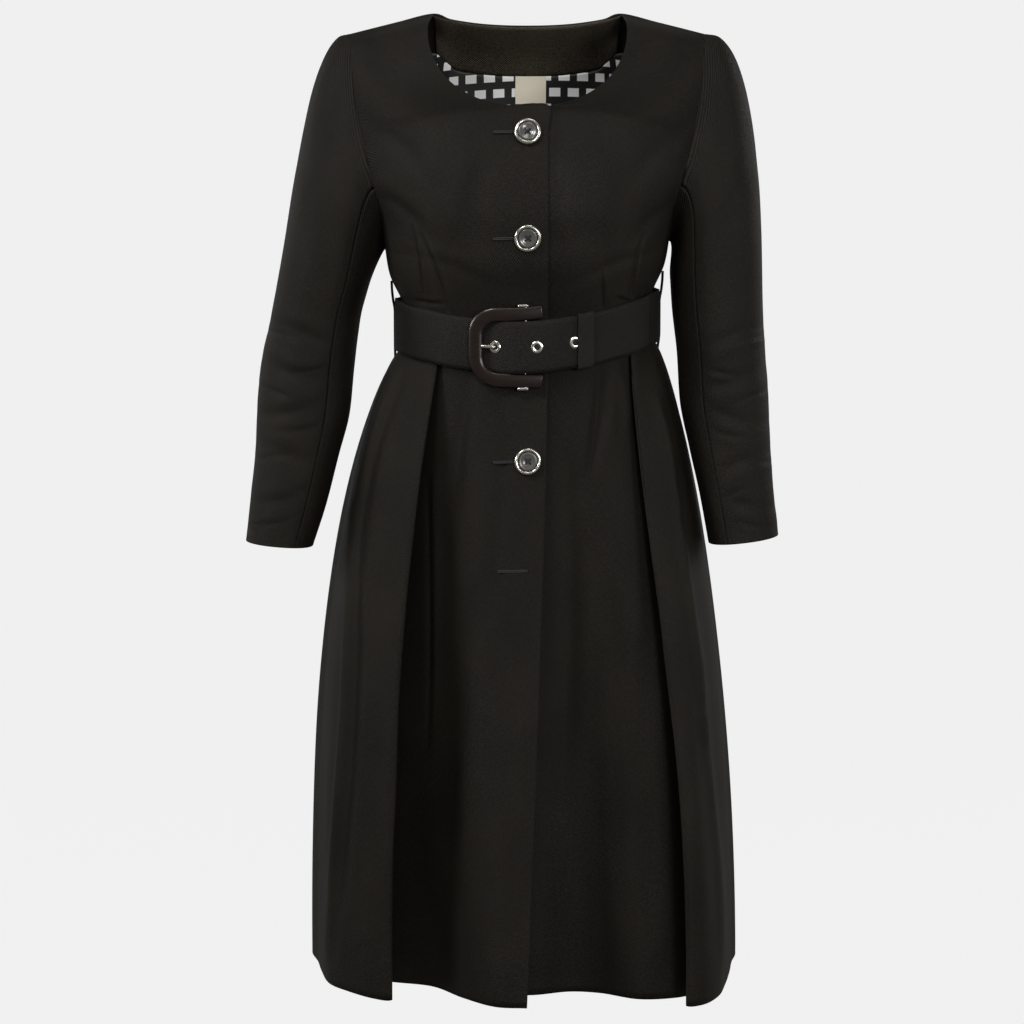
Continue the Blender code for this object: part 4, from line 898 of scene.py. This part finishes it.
def more_rows(grid, times):
    """Cubic curves down a grid's columns, with more rows through the same points."""
    ends = np.concatenate([2 * grid[:1] - grid[1:2], grid, 2 * grid[-1:] - grid[-2:-1]])
    rows = []
    for row in range(len(grid) - 1):
        before, near, far, after = ends[row : row + 4]
        for step in range(times):
            t = step / times
            cubic = 3 * (near - far) + after - before
            square = 2 * before - 5 * near + 4 * far - after
            rows.append(near + 0.5 * t * (far - before + t * (square + t * cubic)))
    rows.append(grid[-1])
    return np.array(rows)


def refined(grid, down=FINENESS, across=FINENESS):
    """The same surface with more rows and columns."""
    tall = more_rows(grid, down)
    return more_rows(tall.swapaxes(0, 1), across).swapaxes(0, 1)


def finer_table(table):
    """A fold table with more strips between its folds."""
    return {**table, "cells": table["cells"] * FINENESS}


def cloth_lengths(grid):
    """Distance along the cloth of each point, across from the first column and down from the first row."""
    return lengths_along(grid, 1), lengths_along(grid, 0)


def undulation(points, size, seed):
    """Slow uneven waves over the cloth, of about this size."""
    random = np.random.default_rng(seed)
    total = np.zeros(points.shape[:-1])
    for _ in range(DRIFT_WAVES):
        way = random.normal(size=3) * np.array([1.0, 1.0, 0.5])
        way *= 2 * math.pi * random.uniform(0.7, 1.5) / (size * np.linalg.norm(way))
        total += np.sin(points @ way + random.uniform(0, 2 * math.pi))
    return total / math.sqrt(DRIFT_WAVES)


def crease_height(points, crease):
    """How far one crease moves each point out, with a lower swell along one of its sides."""
    from_x, from_z, to_x, to_z, bow, width, depth = crease
    start = np.array([from_x, from_z])
    way = np.array([to_x, to_z]) - start
    length = np.linalg.norm(way)
    way = way / length
    place = points[..., [0, 2]] * 1000 - start
    along = place @ way
    share = np.clip(along / length, 0, 1)
    aside = place @ np.array([-way[1], way[0]]) - bow * 4 * share * (1 - share)
    beyond = (along - share * length) / width
    trough = np.exp(-((aside / width) ** 2) - beyond**2)
    swell = np.exp(-(((aside - SWELL_PLACE * width) / (SWELL_WIDTH * width)) ** 2) - beyond**2)
    return depth / 1000 * (trough - SWELL_SHARE * swell) * np.sin(math.pi * (0.1 + 0.8 * share))


def outside(name, grid):
    """The turn that makes a grid's normals point out of the coat, or out of the arm on a sleeve."""
    if not name.startswith("sleeve_upper"):
        return outward_turn(grid)
    row = len(grid) * 2 // 3
    front = np.argmin(grid[row, :, 1])
    return 1 if normals_of(grid, 1)[row, front, 1] < 0 else -1


def uneven(name, points, drift):
    """How far the slow waves and the creases of a piece move each point out."""
    height = drift * undulation(points, DRIFT_SIZE, len(name))
    for crease in CREASES.get(name, ()):
        height = height + crease_height(points, crease)
    if name == "bodice_back":
        height *= 1 - ramp(*SMOOTH_YOKE, points[..., 2])
    return height


def wrinkled(name, grid, drift):
    """A grid of cloth points with its creases and slow waves, left as it is at its edges.

    The back lining follows the troughs of the bodice back instead.
    """
    normals = normals_of(grid, outside(name, grid))
    if name == "back_lining":
        ease = LINING_EASE * (grid[..., 2] < SMOOTH_YOKE[0])
        height = np.minimum(uneven("bodice_back", grid, DRIFT), 0) - ease
        return grid + normals * height[..., None]
    across, down = cloth_lengths(grid)
    to_edge = np.minimum(np.minimum(across, across[:, -1:] - across), np.minimum(down, down[-1:] - down))
    height = uneven(name, grid, drift)
    toward = normals[..., 1] if "back" in name else -normals[..., 1]
    height *= TURNED_AWAY_SHARE + (1 - TURNED_AWAY_SHARE) * ramp(-0.1, 0.4, toward)
    return grid + normals * (height * ramp(0.0, EDGE_FADE, to_edge))[..., None]


def mesh_object(name, points, faces):
    """A smooth-shaded object of the coat."""
    mesh = bpy.data.meshes.new(name)
    mesh.from_pydata([tuple(point) for point in points], [], faces)
    mesh.polygons.foreach_set("use_smooth", [True] * len(mesh.polygons))
    made = bpy.data.objects.new(name, mesh)
    bpy.context.scene.collection.objects.link(made)
    return made


def grid_object(name, grid):
    """A smooth sheet through a grid of points, with its cloth lengths in metres as its UV map."""
    rows, cols = grid.shape[:2]
    faces = []
    for row in range(rows - 1):
        for col in range(cols - 1):
            corner = row * cols + col
            faces.append((corner, corner + 1, corner + cols + 1, corner + cols))
    if outside(name, grid) < 0:
        faces = [tuple(reversed(face)) for face in faces]
    made = mesh_object(name, grid.reshape(-1, 3), faces)
    across, down = cloth_lengths(grid)
    from_middle = across - across[:, cols // 2 : cols // 2 + 1]
    if name.startswith("sleeve"):
        down = down - down[-1:]
    lengths = np.stack([from_middle, -down], axis=-1).reshape(-1, 2)
    corners = np.array([loop.vertex_index for loop in made.data.loops])
    layer = made.data.uv_layers.new(name="cloth")
    layer.data.foreach_set("uv", lengths[corners].ravel())
    return made


def cloth_shell(name, grid, wall, surface, drift):
    """A cloth shell that stands for one solid, and its grid of points."""
    grid = leaning(grid.reshape(-1, 3)).reshape(grid.shape)
    grid = wrinkled(name, grid, drift)
    made = grid_object(name + "_shell", grid)
    made.data.materials.append(surface)
    thick = made.modifiers.new("wall", "SOLIDIFY")
    thick.thickness = wall
    thick.offset = 0
    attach(made, "root")
    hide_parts(name)
    return made, grid


def cloth_piece(name, grid, wall, surface, drift=DRIFT):
    """A cloth shell for one solid; the lengths of its cut are measured but not kept."""
    made, grid = cloth_shell(name, grid, wall, surface, drift)
    across, down = cloth_lengths(grid)
    return made


def new_material(name):
    """A material with its node tree and its main shader."""
    made = bpy.data.materials.new(name)
    made.use_nodes = True
    return made, made.node_tree, made.node_tree.nodes["Principled BSDF"]


def set_inputs(node, values):
    """Sets those of a node's inputs that are the same all over."""
    for name, value in values.items():
        node.inputs[name].default_value = value


def plain_surface(name, colour, roughness, metallic=0.0, coat=0.0):
    """A surface that is the same all over."""
    made, _, shader = new_material(name)
    set_inputs(shader, {"Base Color": (*colour, 1), "Roughness": roughness})
    set_inputs(shader, {"Metallic": metallic, "Coat Weight": coat})
    return made


def two_colours(tree, factor, dark, light):
    """A mix of two colours by a factor, as an output to link."""
    mix = tree.nodes.new("ShaderNodeMix")
    mix.data_type = "RGBA"
    set_inputs(mix, {"A": (*dark, 1), "B": (*light, 1)})
    tree.links.new(factor, mix.inputs["Factor"])
    return mix.outputs["Result"]


def thread_noise(tree, place, stretch):
    """Short streaks of thread, stretched along one direction of the cloth."""
    mapping = tree.nodes.new("ShaderNodeMapping")
    set_inputs(mapping, {"Scale": stretch})
    tree.links.new(place, mapping.inputs["Vector"])
    noise = tree.nodes.new("ShaderNodeTexNoise")
    set_inputs(noise, {"Scale": 1.0, "Detail": 2.0})
    tree.links.new(mapping.outputs["Vector"], noise.inputs["Vector"])
    return noise.outputs["Fac"]


def twill(tree, place):
    """Fine slanting ribs of the weave."""
    ribs = tree.nodes.new("ShaderNodeTexWave")
    ribs.bands_direction = "DIAGONAL"
    set_inputs(ribs, {"Scale": 0.628 / TWILL_RIB, "Distortion": 1.5, "Detail": 1.0})
    tree.links.new(place, ribs.inputs["Vector"])
    return ribs.outputs["Fac"]


def sum_of(tree, first, second):
    """The sum of two values, as an output to link."""
    both = tree.nodes.new("ShaderNodeMath")
    both.operation = "ADD"
    tree.links.new(first, both.inputs[0])
    tree.links.new(second, both.inputs[1])
    return both.outputs["Value"]


def woven(name, dark, light, sheen):
    """Woven cloth: streaks of thread both ways, which also stand out a little. The pale threads are partly
    the weave's own tone and partly painted highlight for its glints.
    """
    made, tree, shader = new_material(name)
    place = tree.nodes.new("ShaderNodeTexCoord").outputs["UV"]
    warp = thread_noise(tree, place, WARP_FINENESS)
    weft = thread_noise(tree, place, WEFT_FINENESS)
    streaks = sum_of(tree, warp, weft)
    # slow paler areas over the cloth's colour, at random places: painted sheen
    sheen_patches = thread_noise(tree, place, SHEEN_PATCH_FINENESS)
    spread = tree.nodes.new("ShaderNodeMapRange")
    set_inputs(spread, {"From Min": 1.46, "From Max": 2.52})
    ribbed = sum_of(tree, streaks, twill(tree, place))
    tree.links.new(sum_of(tree, ribbed, sheen_patches), spread.inputs["Value"])
    threads = spread.outputs["Result"]
    tree.links.new(two_colours(tree, threads, dark, light), shader.inputs["Base Color"])
    bump = tree.nodes.new("ShaderNodeBump")
    set_inputs(bump, {"Strength": 0.5, "Distance": 0.0006})
    tree.links.new(threads, bump.inputs["Height"])
    tree.links.new(bump.outputs["Normal"], shader.inputs["Normal"])
    set_inputs(shader, {"Roughness": 0.62, "Specular IOR Level": 0.10, "Sheen Weight": sheen})
    set_inputs(shader, {"Sheen Roughness": 0.45, "Sheen Tint": (1.0, 0.93, 0.82, 1)})
    return made


def coat_cloth():
    return woven("coat cloth", (0.0007, 0.0006, 0.0004), (0.0128, 0.0104, 0.0070), 0.004)


# The coat cloth painted about six times paler, so that the facing inside the back neck looks lit: painted
# light.
def facing_cloth_painted_light():
    return woven("facing cloth painted light", (0.0035, 0.0030, 0.0022), (0.0800, 0.0670, 0.0480), 0.006)


def belt_cloth():
    return woven("belt cloth", (0.0014, 0.0013, 0.0011), (0.0128, 0.0112, 0.0088), 0.006)


def lattice_lining():
    """Smooth lining with a plain black and white lattice."""
    made, tree, shader = new_material("lattice lining")
    place = tree.nodes.new("ShaderNodeTexCoord").outputs["UV"]
    bricks = tree.nodes.new("ShaderNodeTexBrick")
    set_inputs(bricks, {"Color1": (0.93, 0.92, 0.90, 1), "Color2": (0.86, 0.85, 0.83, 1)})
    set_inputs(bricks, {"Mortar": (0.008, 0.008, 0.008, 1), "Scale": 1.0})
    set_inputs(bricks, {"Brick Width": 0.0190, "Row Height": 0.0165})
    set_inputs(bricks, {"Mortar Size": 0.0040, "Mortar Smooth": 0.1})
    tree.links.new(place, bricks.inputs["Vector"])
    tree.links.new(bricks.outputs["Color"], shader.inputs["Base Color"])
    set_inputs(shader, {"Roughness": 0.55})
    return made


def label_weave():
    return woven("label cloth", (0.84, 0.77, 0.62), (0.98, 0.93, 0.80), 0.05)


def polished_horn():
    """Dark horn with slow paler streaks and a polished skin."""
    made, tree, shader = new_material("polished horn")
    place = tree.nodes.new("ShaderNodeTexCoord").outputs["Object"]
    streaks = thread_noise(tree, place, HORN_FINENESS)
    colour = two_colours(tree, streaks, (0.0014, 0.0006, 0.0003), (0.0120, 0.0050, 0.0024))
    tree.links.new(colour, shader.inputs["Base Color"])
    set_inputs(shader, {"Roughness": 0.28, "Specular IOR Level": 0.34})
    set_inputs(shader, {"Coat Weight": 0.06, "Coat Roughness": 0.10})
    return made


def bright_metal():
    return plain_surface("bright metal", (0.42, 0.40, 0.35), 0.24, 1.0)


def smoky_plastic():
    return plain_surface("smoky plastic", (0.052, 0.053, 0.048), 0.24, 0.0, 0.2)


# Near-black thread, darker than the cloth; on the buttonholes its darkness is partly painted shade of the
# slit.
def sewing_thread():
    return plain_surface("sewing thread", (0.0013, 0.0012, 0.0011), 0.7)


# Near-black for the middles of holes: partly the black cloth seen through them, partly painted shade.
def dark_hole_shade():
    return plain_surface("dark hole shade", (0.002, 0.002, 0.002), 0.9)


def loops_object(name, loops, closed):
    """A smooth object through loops of points, closed into a ring or capped at both ends."""
    count, size = loops.shape[:2]
    faces = []
    for place in range(count if closed else count - 1):
        here = place * size
        after = (place + 1) % count * size
        for corner in range(size):
            beside = (corner + 1) % size
            faces.append((here + corner, after + corner, after + beside, here + beside))
    if not closed:
        faces.append(tuple(range(size)))
        faces.append(tuple((count - 1) * size + corner for corner in reversed(range(size))))
    return mesh_object(name, leaning(loops.reshape(-1, 3)), faces)


def trim(made, surface, slot, *nodes):
    """Gives a small piece its surface and its place in the frame."""
    made.data.materials.append(surface)
    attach(made, "root")
    if nodes:
        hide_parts(*nodes)
    return made


def bodice(cloth):
    for name, side in (("bodice_front_right", RIGHT), ("bodice_front_left", LEFT)):
        cloth_piece(name, refined(bodice_front(side), *BODICE_FRONT_FINENESS), WALL, cloth)
    cloth_piece("bodice_back", refined(bodice_back()), WALL, cloth)


def sleeves(cloth):
    upper = np.arange(-UPPER_BACK_STRIPS, UPPER_FRONT_STRIPS + 1)
    under_front = np.arange(UPPER_FRONT_STRIPS, FRONT_ARMHOLE_STRIPS + 1)
    under_back = np.arange(-BACK_ARMHOLE_STRIPS + 1, -UPPER_BACK_STRIPS + 1)
    under = np.concatenate([under_front, under_back])
    for name, side, table in (("right", RIGHT, RIGHT_SLEEVE), ("left", LEFT, LEFT_SLEEVE)):
        for part, strips in (("upper", upper), ("under", under)):
            grid = refined(sleeve_panel(side, table, strips), *SLEEVE_FINENESS)
            grid = with_allowance(grid, side)
            cloth_piece(f"sleeve_{part}_{name}", grid, WALL, cloth)


def with_allowance(grid, side):
    """A sleeve panel with a strip of seam allowance turned in under the bodice's armhole."""
    inward = np.array(ALLOWANCE_AIM) - grid[0]
    inward[:, 0] = 0
    inward = unit(inward)
    strips = []
    for share in (1.0, 0.5):
        tucked = grid[0] + inward * ALLOWANCE_IN * share
        tucked[:, 0] -= side * ALLOWANCE * share
        strips.append(tucked)
    return np.concatenate([np.array(strips), grid])


def skirt(cloth):
    for name, side, table in (("right", RIGHT, RIGHT_FOLDS), ("left", LEFT, LEFT_FOLDS)):
        grid = skirt_front(side, finer_table(table), SKIRT_ROWS)
        cloth_piece(f"skirt_front_{name}", grid, WALL, cloth)
    grid = skirt_back(SKIRT_ROWS, finer_table(BACK_FLUTES))
    cloth_piece("skirt_back", grid, WALL, cloth)


def inside():
    """Facing and lining inside the back, the facing in a paler copy of the coat cloth: painted light."""
    facing = refined(inside_back()[-3:, 3:-3])
    cloth_piece("neck_facing", facing, INSIDE_WALL, facing_cloth_painted_light(), 0.0)
    grid = inside_back()[3:-2, 1:-1]
    step = grid[-2] - grid[-1]
    grid[-1] += step * 2 * SEAM_GAP / np.linalg.norm(step, axis=-1, keepdims=True)
    cloth_piece("back_lining", refined(grid), INSIDE_WALL, lattice_lining(), 0.0)


def buttons():
    """Metal rims, dished faces with four holes, and the thread through them. The holes are near-black discs,
    partly the black cloth seen through them and partly painted shade.
    """
    fronts = bodice_front(RIGHT)
    skirts = skirt_front(RIGHT, RIGHT_FOLDS)
    metal = bright_metal()
    plastic = smoky_plastic()
    thread = sewing_thread()
    hole = dark_hole_shade()
    for number, height in enumerate(BUTTON_HEIGHTS, 1):
        face, axes = panel_axes(skirts if height < BELT_SIDE_HEIGHT else fronts, height)
        foot = face + axes[2] * BUTTON_GAP
        rim = loops_object(f"button_rim_{number}_look", turned(button_rim(), 64, foot, axes), True)
        trim(rim, metal, "metal", f"button_rim_{number}")
        dish = loops_object(f"button_face_{number}_look", turned(button_dish(), 48, foot, axes), True)
        trim(dish, plastic, "button_plastic", f"button_face_{number}")
        top = foot + axes[2] * (BUTTON_WALL - BUTTON_DISH)
        button_holes(number, top, axes, hole)
        button_thread(number, top, axes, thread)


def button_rim():
    """Outline of a button's rim as (radius, height)."""
    inner = BUTTON_FACE_RADIUS + 0.0003
    outer = BUTTON_RADIUS
    high = BUTTON_WALL
    outside_edge = ((0.0012, 0.0), (0.0004, 0.0004), (0.0, 0.0014), (0.0003, 0.0028), (0.0011, 0.0041))
    upper_edge = ((outer - 0.0022, high), (inner + 0.0009, high - 0.0003), (inner, high - 0.0012))
    return ((inner, 0.0004), *((outer - step, height) for step, height in outside_edge), *upper_edge)


def button_dish():
    """Outline of a button's dished face as (radius, height)."""
    shares = (1.0, 0.92, 0.80, 0.62, 0.40)
    drops = (0.0016, 0.0009, 0.0009, 0.0017, 0.0022)
    foot = ((PIVOT, 0.0004), (BUTTON_FACE_RADIUS, 0.0004))
    face = [(BUTTON_FACE_RADIUS * share, BUTTON_WALL - drop) for share, drop in zip(shares, drops)]
    return (*foot, *face, (PIVOT, BUTTON_WALL - 0.0024))


def dark_disc(radius, low, high):
    """Outline of a thin disc as (radius, height)."""
    return ((PIVOT, low), (radius, low), (radius, high), (PIVOT, high))


def button_holes(number, top, axes, surface):
    """The four holes in a button's face, as near-black discs that are partly painted shade."""
    disc = dark_disc(BUTTON_HOLE_RADIUS, -0.0002, 0.00012)
    for place, (right, up) in enumerate(((-1, -1), (1, -1), (1, 1), (-1, 1)), 1):
        middle = top + BUTTON_HOLE_SPREAD * (right * axes[0] + up * axes[1])
        made = loops_object(f"button_{number}_hole_{place}", turned(disc, 16, middle, axes), True)
        trim(made, surface, "button_plastic")


def button_thread(number, top, axes, surface):
    """Two stitches that cross over a button's holes."""
    for place, slant in ((1, -1), (2, 1)):
        ends = [top + BUTTON_HOLE_SPREAD * up * (slant * axes[0] + axes[1]) for up in (-1, 1)]
        lift = axes[2] * BUTTON_THREAD_LIFT * place
        made = tube(f"button_{number}_thread_{place}", ends, BUTTON_THREAD_RADIUS, lift)
        trim(made, surface, "black_cloth")


def turned(profile, segments, middle, axes):
    """Loops of a closed outline of (radius, height) turned about an axis out of the cloth."""
    first, second, out = axes
    loops = []
    for turn in np.linspace(0, 2 * math.pi, segments, endpoint=False):
        spoke = math.cos(turn) * first + math.sin(turn) * second
        loops.append([middle + radius * spoke + height * out for radius, height in profile])
    return np.array(loops)


def tube(name, path, radius, lift):
    """A round thread along a path of points, lifted by a step."""
    path = np.array(path) + lift
    out = unit(lift)
    aside = np.cross(unit(path[-1] - path[0]), out)
    turns = np.linspace(0, 2 * math.pi, 10, endpoint=False)[:, None]
    ring = radius * (np.cos(turns) * aside + np.sin(turns) * out)
    return loops_object(name, path[:, None] + ring, False)


def front_line(grid, across, height):
    """Points and outward directions on a panel's face at a height, at distances from the centre line."""
    normals = normals_of(grid, outward_turn(grid))
    spots = []
    for wanted in across:
        column = []
        for row in range(len(grid)):
            order = np.argsort(grid[row, :8, 0])
            line = grid[row, :8, 0][order]
            spot = [np.interp(wanted, line, grid[row, :8, axis][order]) for axis in range(3)]
            facing = [np.interp(wanted, line, normals[row, :8, axis][order]) for axis in range(3)]
            column.append(spot + facing)
        column = np.array(column)
        column = column[np.argsort(column[:, 2])]
        spots.append([np.interp(height, column[:, 2], column[:, axis]) for axis in range(6)])
    spots = np.array(spots)
    return spots[:, :3], spots[:, 3:]


def buttonholes():
    """Worked buttonholes on the right front, each two rows of thread. The thread is darker than the cloth,
    partly black thread and partly painted shade of the slit.
    """
    thread = sewing_thread()
    fronts = bodice_front(RIGHT)
    skirts = skirt_front(RIGHT, RIGHT_FOLDS)
    for number, (first, last, height) in enumerate(BUTTONHOLES, 1):
        grid = skirts if height < BELT_SIDE_HEIGHT else fronts
        for row, rise in ((1, BUTTONHOLE_THREAD), (2, -BUTTONHOLE_THREAD)):
            points, facing = front_line(grid, np.linspace(first, last, 12), height + rise)
            points = points + facing * (WALL / 2 + BUTTONHOLE_THREAD)
            lift = facing.mean(axis=0) * 0.0001
            made = tube(f"buttonhole_{number}_row_{row}", points, BUTTONHOLE_THREAD, lift)
            trim(made, thread, "black_cloth")


def fastenings(frame):
    """The belt with its keeper, carriers, buckle and eyelets in their own surfaces."""
    nodes = frame["nodes"]
    cloth = belt_cloth()
    metal = bright_metal()
    belt_look(cloth)
    keeper_look(cloth)
    for name, side in (("belt_carrier_right", RIGHT), ("belt_carrier_left", LEFT)):
        cloth_shell(name, carrier_path(side), CARRIER_WALL, cloth, 0.0)
    for name in ("buckle_bar", "eyelet_1", "eyelet_2", "eyelet_3"):
        nodes[name].data.materials.clear()
        nodes[name].data.materials.append(metal)
    nodes["neck_label"].data.materials.clear()
    nodes["neck_label"].data.materials.append(label_weave())
    trim(buckle_look(), polished_horn(), "horn", "buckle_frame")
    trim(prong_look(), metal, "metal", "buckle_prong")
    bar_clips(metal)


def belt_look(cloth):
    """The belt's strip with edges that wander a little, and the dark middles of its eyelets, near-black discs
    that are partly the cloth beneath and partly painted shade.
    """
    along = np.linspace(BELT_END, WAIST_LENGTH + TONGUE_END, 440)
    shares = np.linspace(-1, 1, 13)[:, None]
    wander = 0.0004 * np.sin(along * 61) + 0.0003 * np.sin(along * 143 + 1)
    up = shares * BELT_WIDTH / 2 + wander * np.abs(shares)
    out = belt_out(along) - 0.0005 * shares**4
    cloth_piece("belt", on_waist(along[None], out, up), BELT_WALL, cloth, 0.0)
    hole = dark_hole_shade()
    for number, place in enumerate(EYELET_PLACES, 1):
        spot = WAIST_LENGTH + place
        out = unit(on_waist(spot, 0.02, 0.0) - on_waist(spot, 0.0, 0.0))
        first = np.cross([0.0, 0.0, 1.0], out)
        axes = (first, np.cross(out, first), out)
        foot = on_waist(spot, belt_out(spot), 0.0) + out * (BELT_WALL / 2 + 0.0001)
        loops = turned(dark_disc(EYELET_HOLE, 0.0, 0.0002), 24, foot, axes)
        trim(loops_object(f"eyelet_{number}_hole", loops, True), hole, "black_cloth")


def keeper_look(cloth):
    """The keeper's band round the belt and the tongue, with soft corners."""
    middle = (KEEPER_LOW + KEEPER_HIGH) / 2
    turns = np.linspace(-math.pi, math.pi, 97)[:, None]
    out = middle + (KEEPER_HIGH - middle) * powered(np.cos(turns), KEEPER_SOFTNESS)
    up = (BELT_WIDTH / 2 + KEEPER_ROOM) * powered(np.sin(turns), KEEPER_SOFTNESS)
    across = np.linspace(-0.5, 0.5, 9)[None]
    along = KEEPER_PLACE + across * KEEPER_WIDTH
    cloth_piece("belt_keeper", on_waist(along, out, up), KEEPER_WALL, cloth, 0.0)


def carrier_path(side):
    """A belt carrier's points, from the bodice's side over the belt to the skirt's side."""
    heights = np.linspace(CARRIER_TOP, CARRIER_FOOT, 41)
    top_out = section(math.pi / 2, CARRIER_TOP, False)[0] + WALL / 2
    face = TORSO["half_width"][2] + BELT_OUT + BELT_WALL / 2 + CARRIER_WALL / 2
    foot_out = skirt_side_reach(side, CARRIER_FOOT)
    drops = np.array([0.0, 0.008, 0.018, 0.030, 0.060, 0.078])
    reaches = np.array([top_out, face + 0.0016, face + 0.0006, face - 0.0012, face - 0.0012, foot_out])
    bow = smooth(drops, reaches, CARRIER_TOP - heights)
    across = np.linspace(-0.5, 0.5, 5) * CARRIER_WIDTH
    grid = np.empty((41, 5, 3))
    grid[..., 0] = side * bow[:, None]
    grid[..., 1] = across
    grid[..., 2] = heights[:, None]
    return grid


def square_to(path):
    """Directions square to a flat path at each of its points."""
    way = unit(np.gradient(path, axis=0))
    return np.stack([-way[:, 1], way[:, 0]], axis=-1)


def buckle_look():
    """The buckle's frame, rounded and smooth."""
    turns = np.radians(np.linspace(90, 180, 15))
    arm = FRAME_HALF_HEIGHT
    corner = FRAME_CORNER
    centre = FRAME_LEFT + corner
    top = [(FRAME_RIGHT * share, arm + FRAME_FLARE * share + FRAME_STEP) for share in (1.0, 0.96, 0.6, 0.2)]
    top += [(centre * share, arm + FRAME_STEP * (1 - share)) for share in (0.2, 0.5, 0.8)]
    middle = arm - corner
    bend = [(centre + corner * math.cos(t), middle + corner * math.sin(t)) for t in turns]
    upper = np.array(top + bend)
    lower = upper[::-1] * np.array([1, -1])
    path = np.concatenate([upper, [[FRAME_LEFT, 0.0]], lower])
    aside = square_to(path)
    around = np.linspace(0, 2 * math.pi, 24, endpoint=False)
    across = powered(np.cos(around), FRAME_ROUNDNESS)
    out = 0.5 + 0.5 * powered(np.sin(around), FRAME_ROUNDNESS)
    loops = []
    for share, rise in zip(across, out):
        spot = path + aside * share * FRAME_LOOK_HALF_WIDTH
        loops.append(on_waist(spot[:, 0], FRAME_BACK + rise * FRAME_WALL, spot[:, 1]))
    return loops_object("buckle_frame_look", np.stack(loops, axis=1), False)


def bar_clips(metal):
    """The bright ends of the bar, bent along the frame's outer edges."""
    along = BAR_PLACE + CLIP_LENGTH * np.linspace(-0.75, 0.25, 7)
    low, high = CLIP_OUT
    near, far = CLIP_UP
    for name, way in (("upper", 1), ("lower", -1)):
        corners = ((low, near), (high, near), (high, far), (low, far))
        loops = [on_waist(along, out, way * up) for out, up in corners]
        trim(loops_object(f"bar_clip_{name}", np.stack(loops, axis=1), False), metal, "metal")


def prong_look():
    """The prong, round and smooth, from under the bar up through the first eyelet to the frame."""
    hole = EYELET_PLACES[0]
    under = BAR_OUT - BAR_RADIUS - 0.0003 - PRONG_RADIUS
    tip = FRAME_LEFT + FRAME_WIDTH / 2 - 0.0006
    keys = np.array(
        [
            (BAR_PLACE + 0.0010, under, PRONG_RADIUS),
            (hole + 0.0090, under - 0.0009, PRONG_RADIUS),
            (hole + 0.0030, under - 0.0012, PRONG_RADIUS),
            (hole + 0.0004, under + 0.0004, 0.0014),
            (hole - 0.0006, under + 0.0028, 0.0016),
            (hole - 0.0026, under + 0.0040, 0.0018),
            (tip, under + 0.0042, 0.0018),
        ]
    )
    path = more_rows(keys, 4)
    aside = square_to(path[:, :2])
    loops = []
    for turn in np.linspace(0, 2 * math.pi, 16, endpoint=False):
        spot = path[:, :2] + aside * path[:, 2:] * math.cos(turn)
        loops.append(on_waist(spot[:, 0], spot[:, 1], path[:, 2] * math.sin(turn)))
    return loops_object("buckle_prong_look", np.stack(loops, axis=1), False)


def stage():
    """A pale floor that sweeps up into a backdrop, well below the hem."""
    profile = [(-STAGE_REACH, FLOOR_HEIGHT), (STAGE_BACK, FLOOR_HEIGHT)]
    for turn in np.radians(np.linspace(0, 90, 13)):
        rise = FLOOR_HEIGHT + STAGE_BEND * (1 - math.cos(turn))
        profile.append((STAGE_BACK + STAGE_BEND * math.sin(turn), rise))
    profile.append((STAGE_BACK + STAGE_BEND, STAGE_TOP))
    points = [(x, y, z) for y, z in profile for x in (-STAGE_REACH, STAGE_REACH)]
    faces = [(2 * n, 2 * n + 1, 2 * n + 3, 2 * n + 2) for n in range(len(profile) - 1)]
    sweep = mesh_object("backdrop", points, faces)
    made, _, shader = new_material("pale paper")
    set_inputs(shader, {"Base Color": (0.02, 0.02, 0.02, 1), "Roughness": 1.0, "Specular IOR Level": 0.0})
    set_inputs(shader, {"Emission Color": (1.0, 1.0, 1.0, 1), "Emission Strength": 0.86})
    sweep.data.materials.append(made)
    sweep.visible_glossy = False
    sweep.visible_diffuse = False


def soft_light(name, place, size, energy):
    """A square light that points at the coat's middle."""
    light = bpy.data.lights.new(name, "AREA")
    light.shape = "SQUARE"
    light.size = size
    light.energy = energy
    made = bpy.data.objects.new(name, light)
    made.location = place
    to_coat = made.location.copy()
    to_coat.z += LIGHT_AIM_DROP
    made.rotation_euler = to_coat.to_track_quat("Z", "Y").to_euler()
    bpy.context.scene.collection.objects.link(made)


def lights():
    scene = bpy.context.scene
    scene.view_settings.view_transform = "Standard"
    world = bpy.data.worlds.new("studio")
    world.use_nodes = True
    ground = world.node_tree.nodes["Background"]
    set_inputs(ground, {"Color": (1.0, 1.0, 1.0, 1), "Strength": WORLD_STRENGTH})
    scene.world = world
    for name, place, size, energy in LIGHTS:
        soft_light(name, place, size, energy)


def camera():
    """The camera at the photograph's angle."""
    lens = bpy.data.cameras.new("camera")
    lens.lens = CAMERA_LENS
    lens.sensor_width = 36
    made = bpy.data.objects.new("camera", lens)
    tilt = math.radians(CAMERA_ELEVATION)
    made.location = (
        CAMERA_AIM[0],
        CAMERA_AIM[1] - CAMERA_DISTANCE * math.cos(tilt),
        CAMERA_AIM[2] + CAMERA_DISTANCE * math.sin(tilt),
    )
    made.rotation_euler = (math.pi / 2 - tilt, 0, 0)
    bpy.context.scene.collection.objects.link(made)
    bpy.context.scene.camera = made


def corners(box):
    """A box's two corners as plain lists."""
    return [[float(value) for value in corner] for corner in box]


def main():
    for old in list(bpy.data.objects):
        bpy.data.objects.remove(old)
    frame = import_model()
    cloth = coat_cloth()
    bodice(cloth)
    sleeves(cloth)
    skirt(cloth)
    inside()
    fastenings(frame)
    buttons()
    buttonholes()
    stage()
    lights()
    camera()


main()
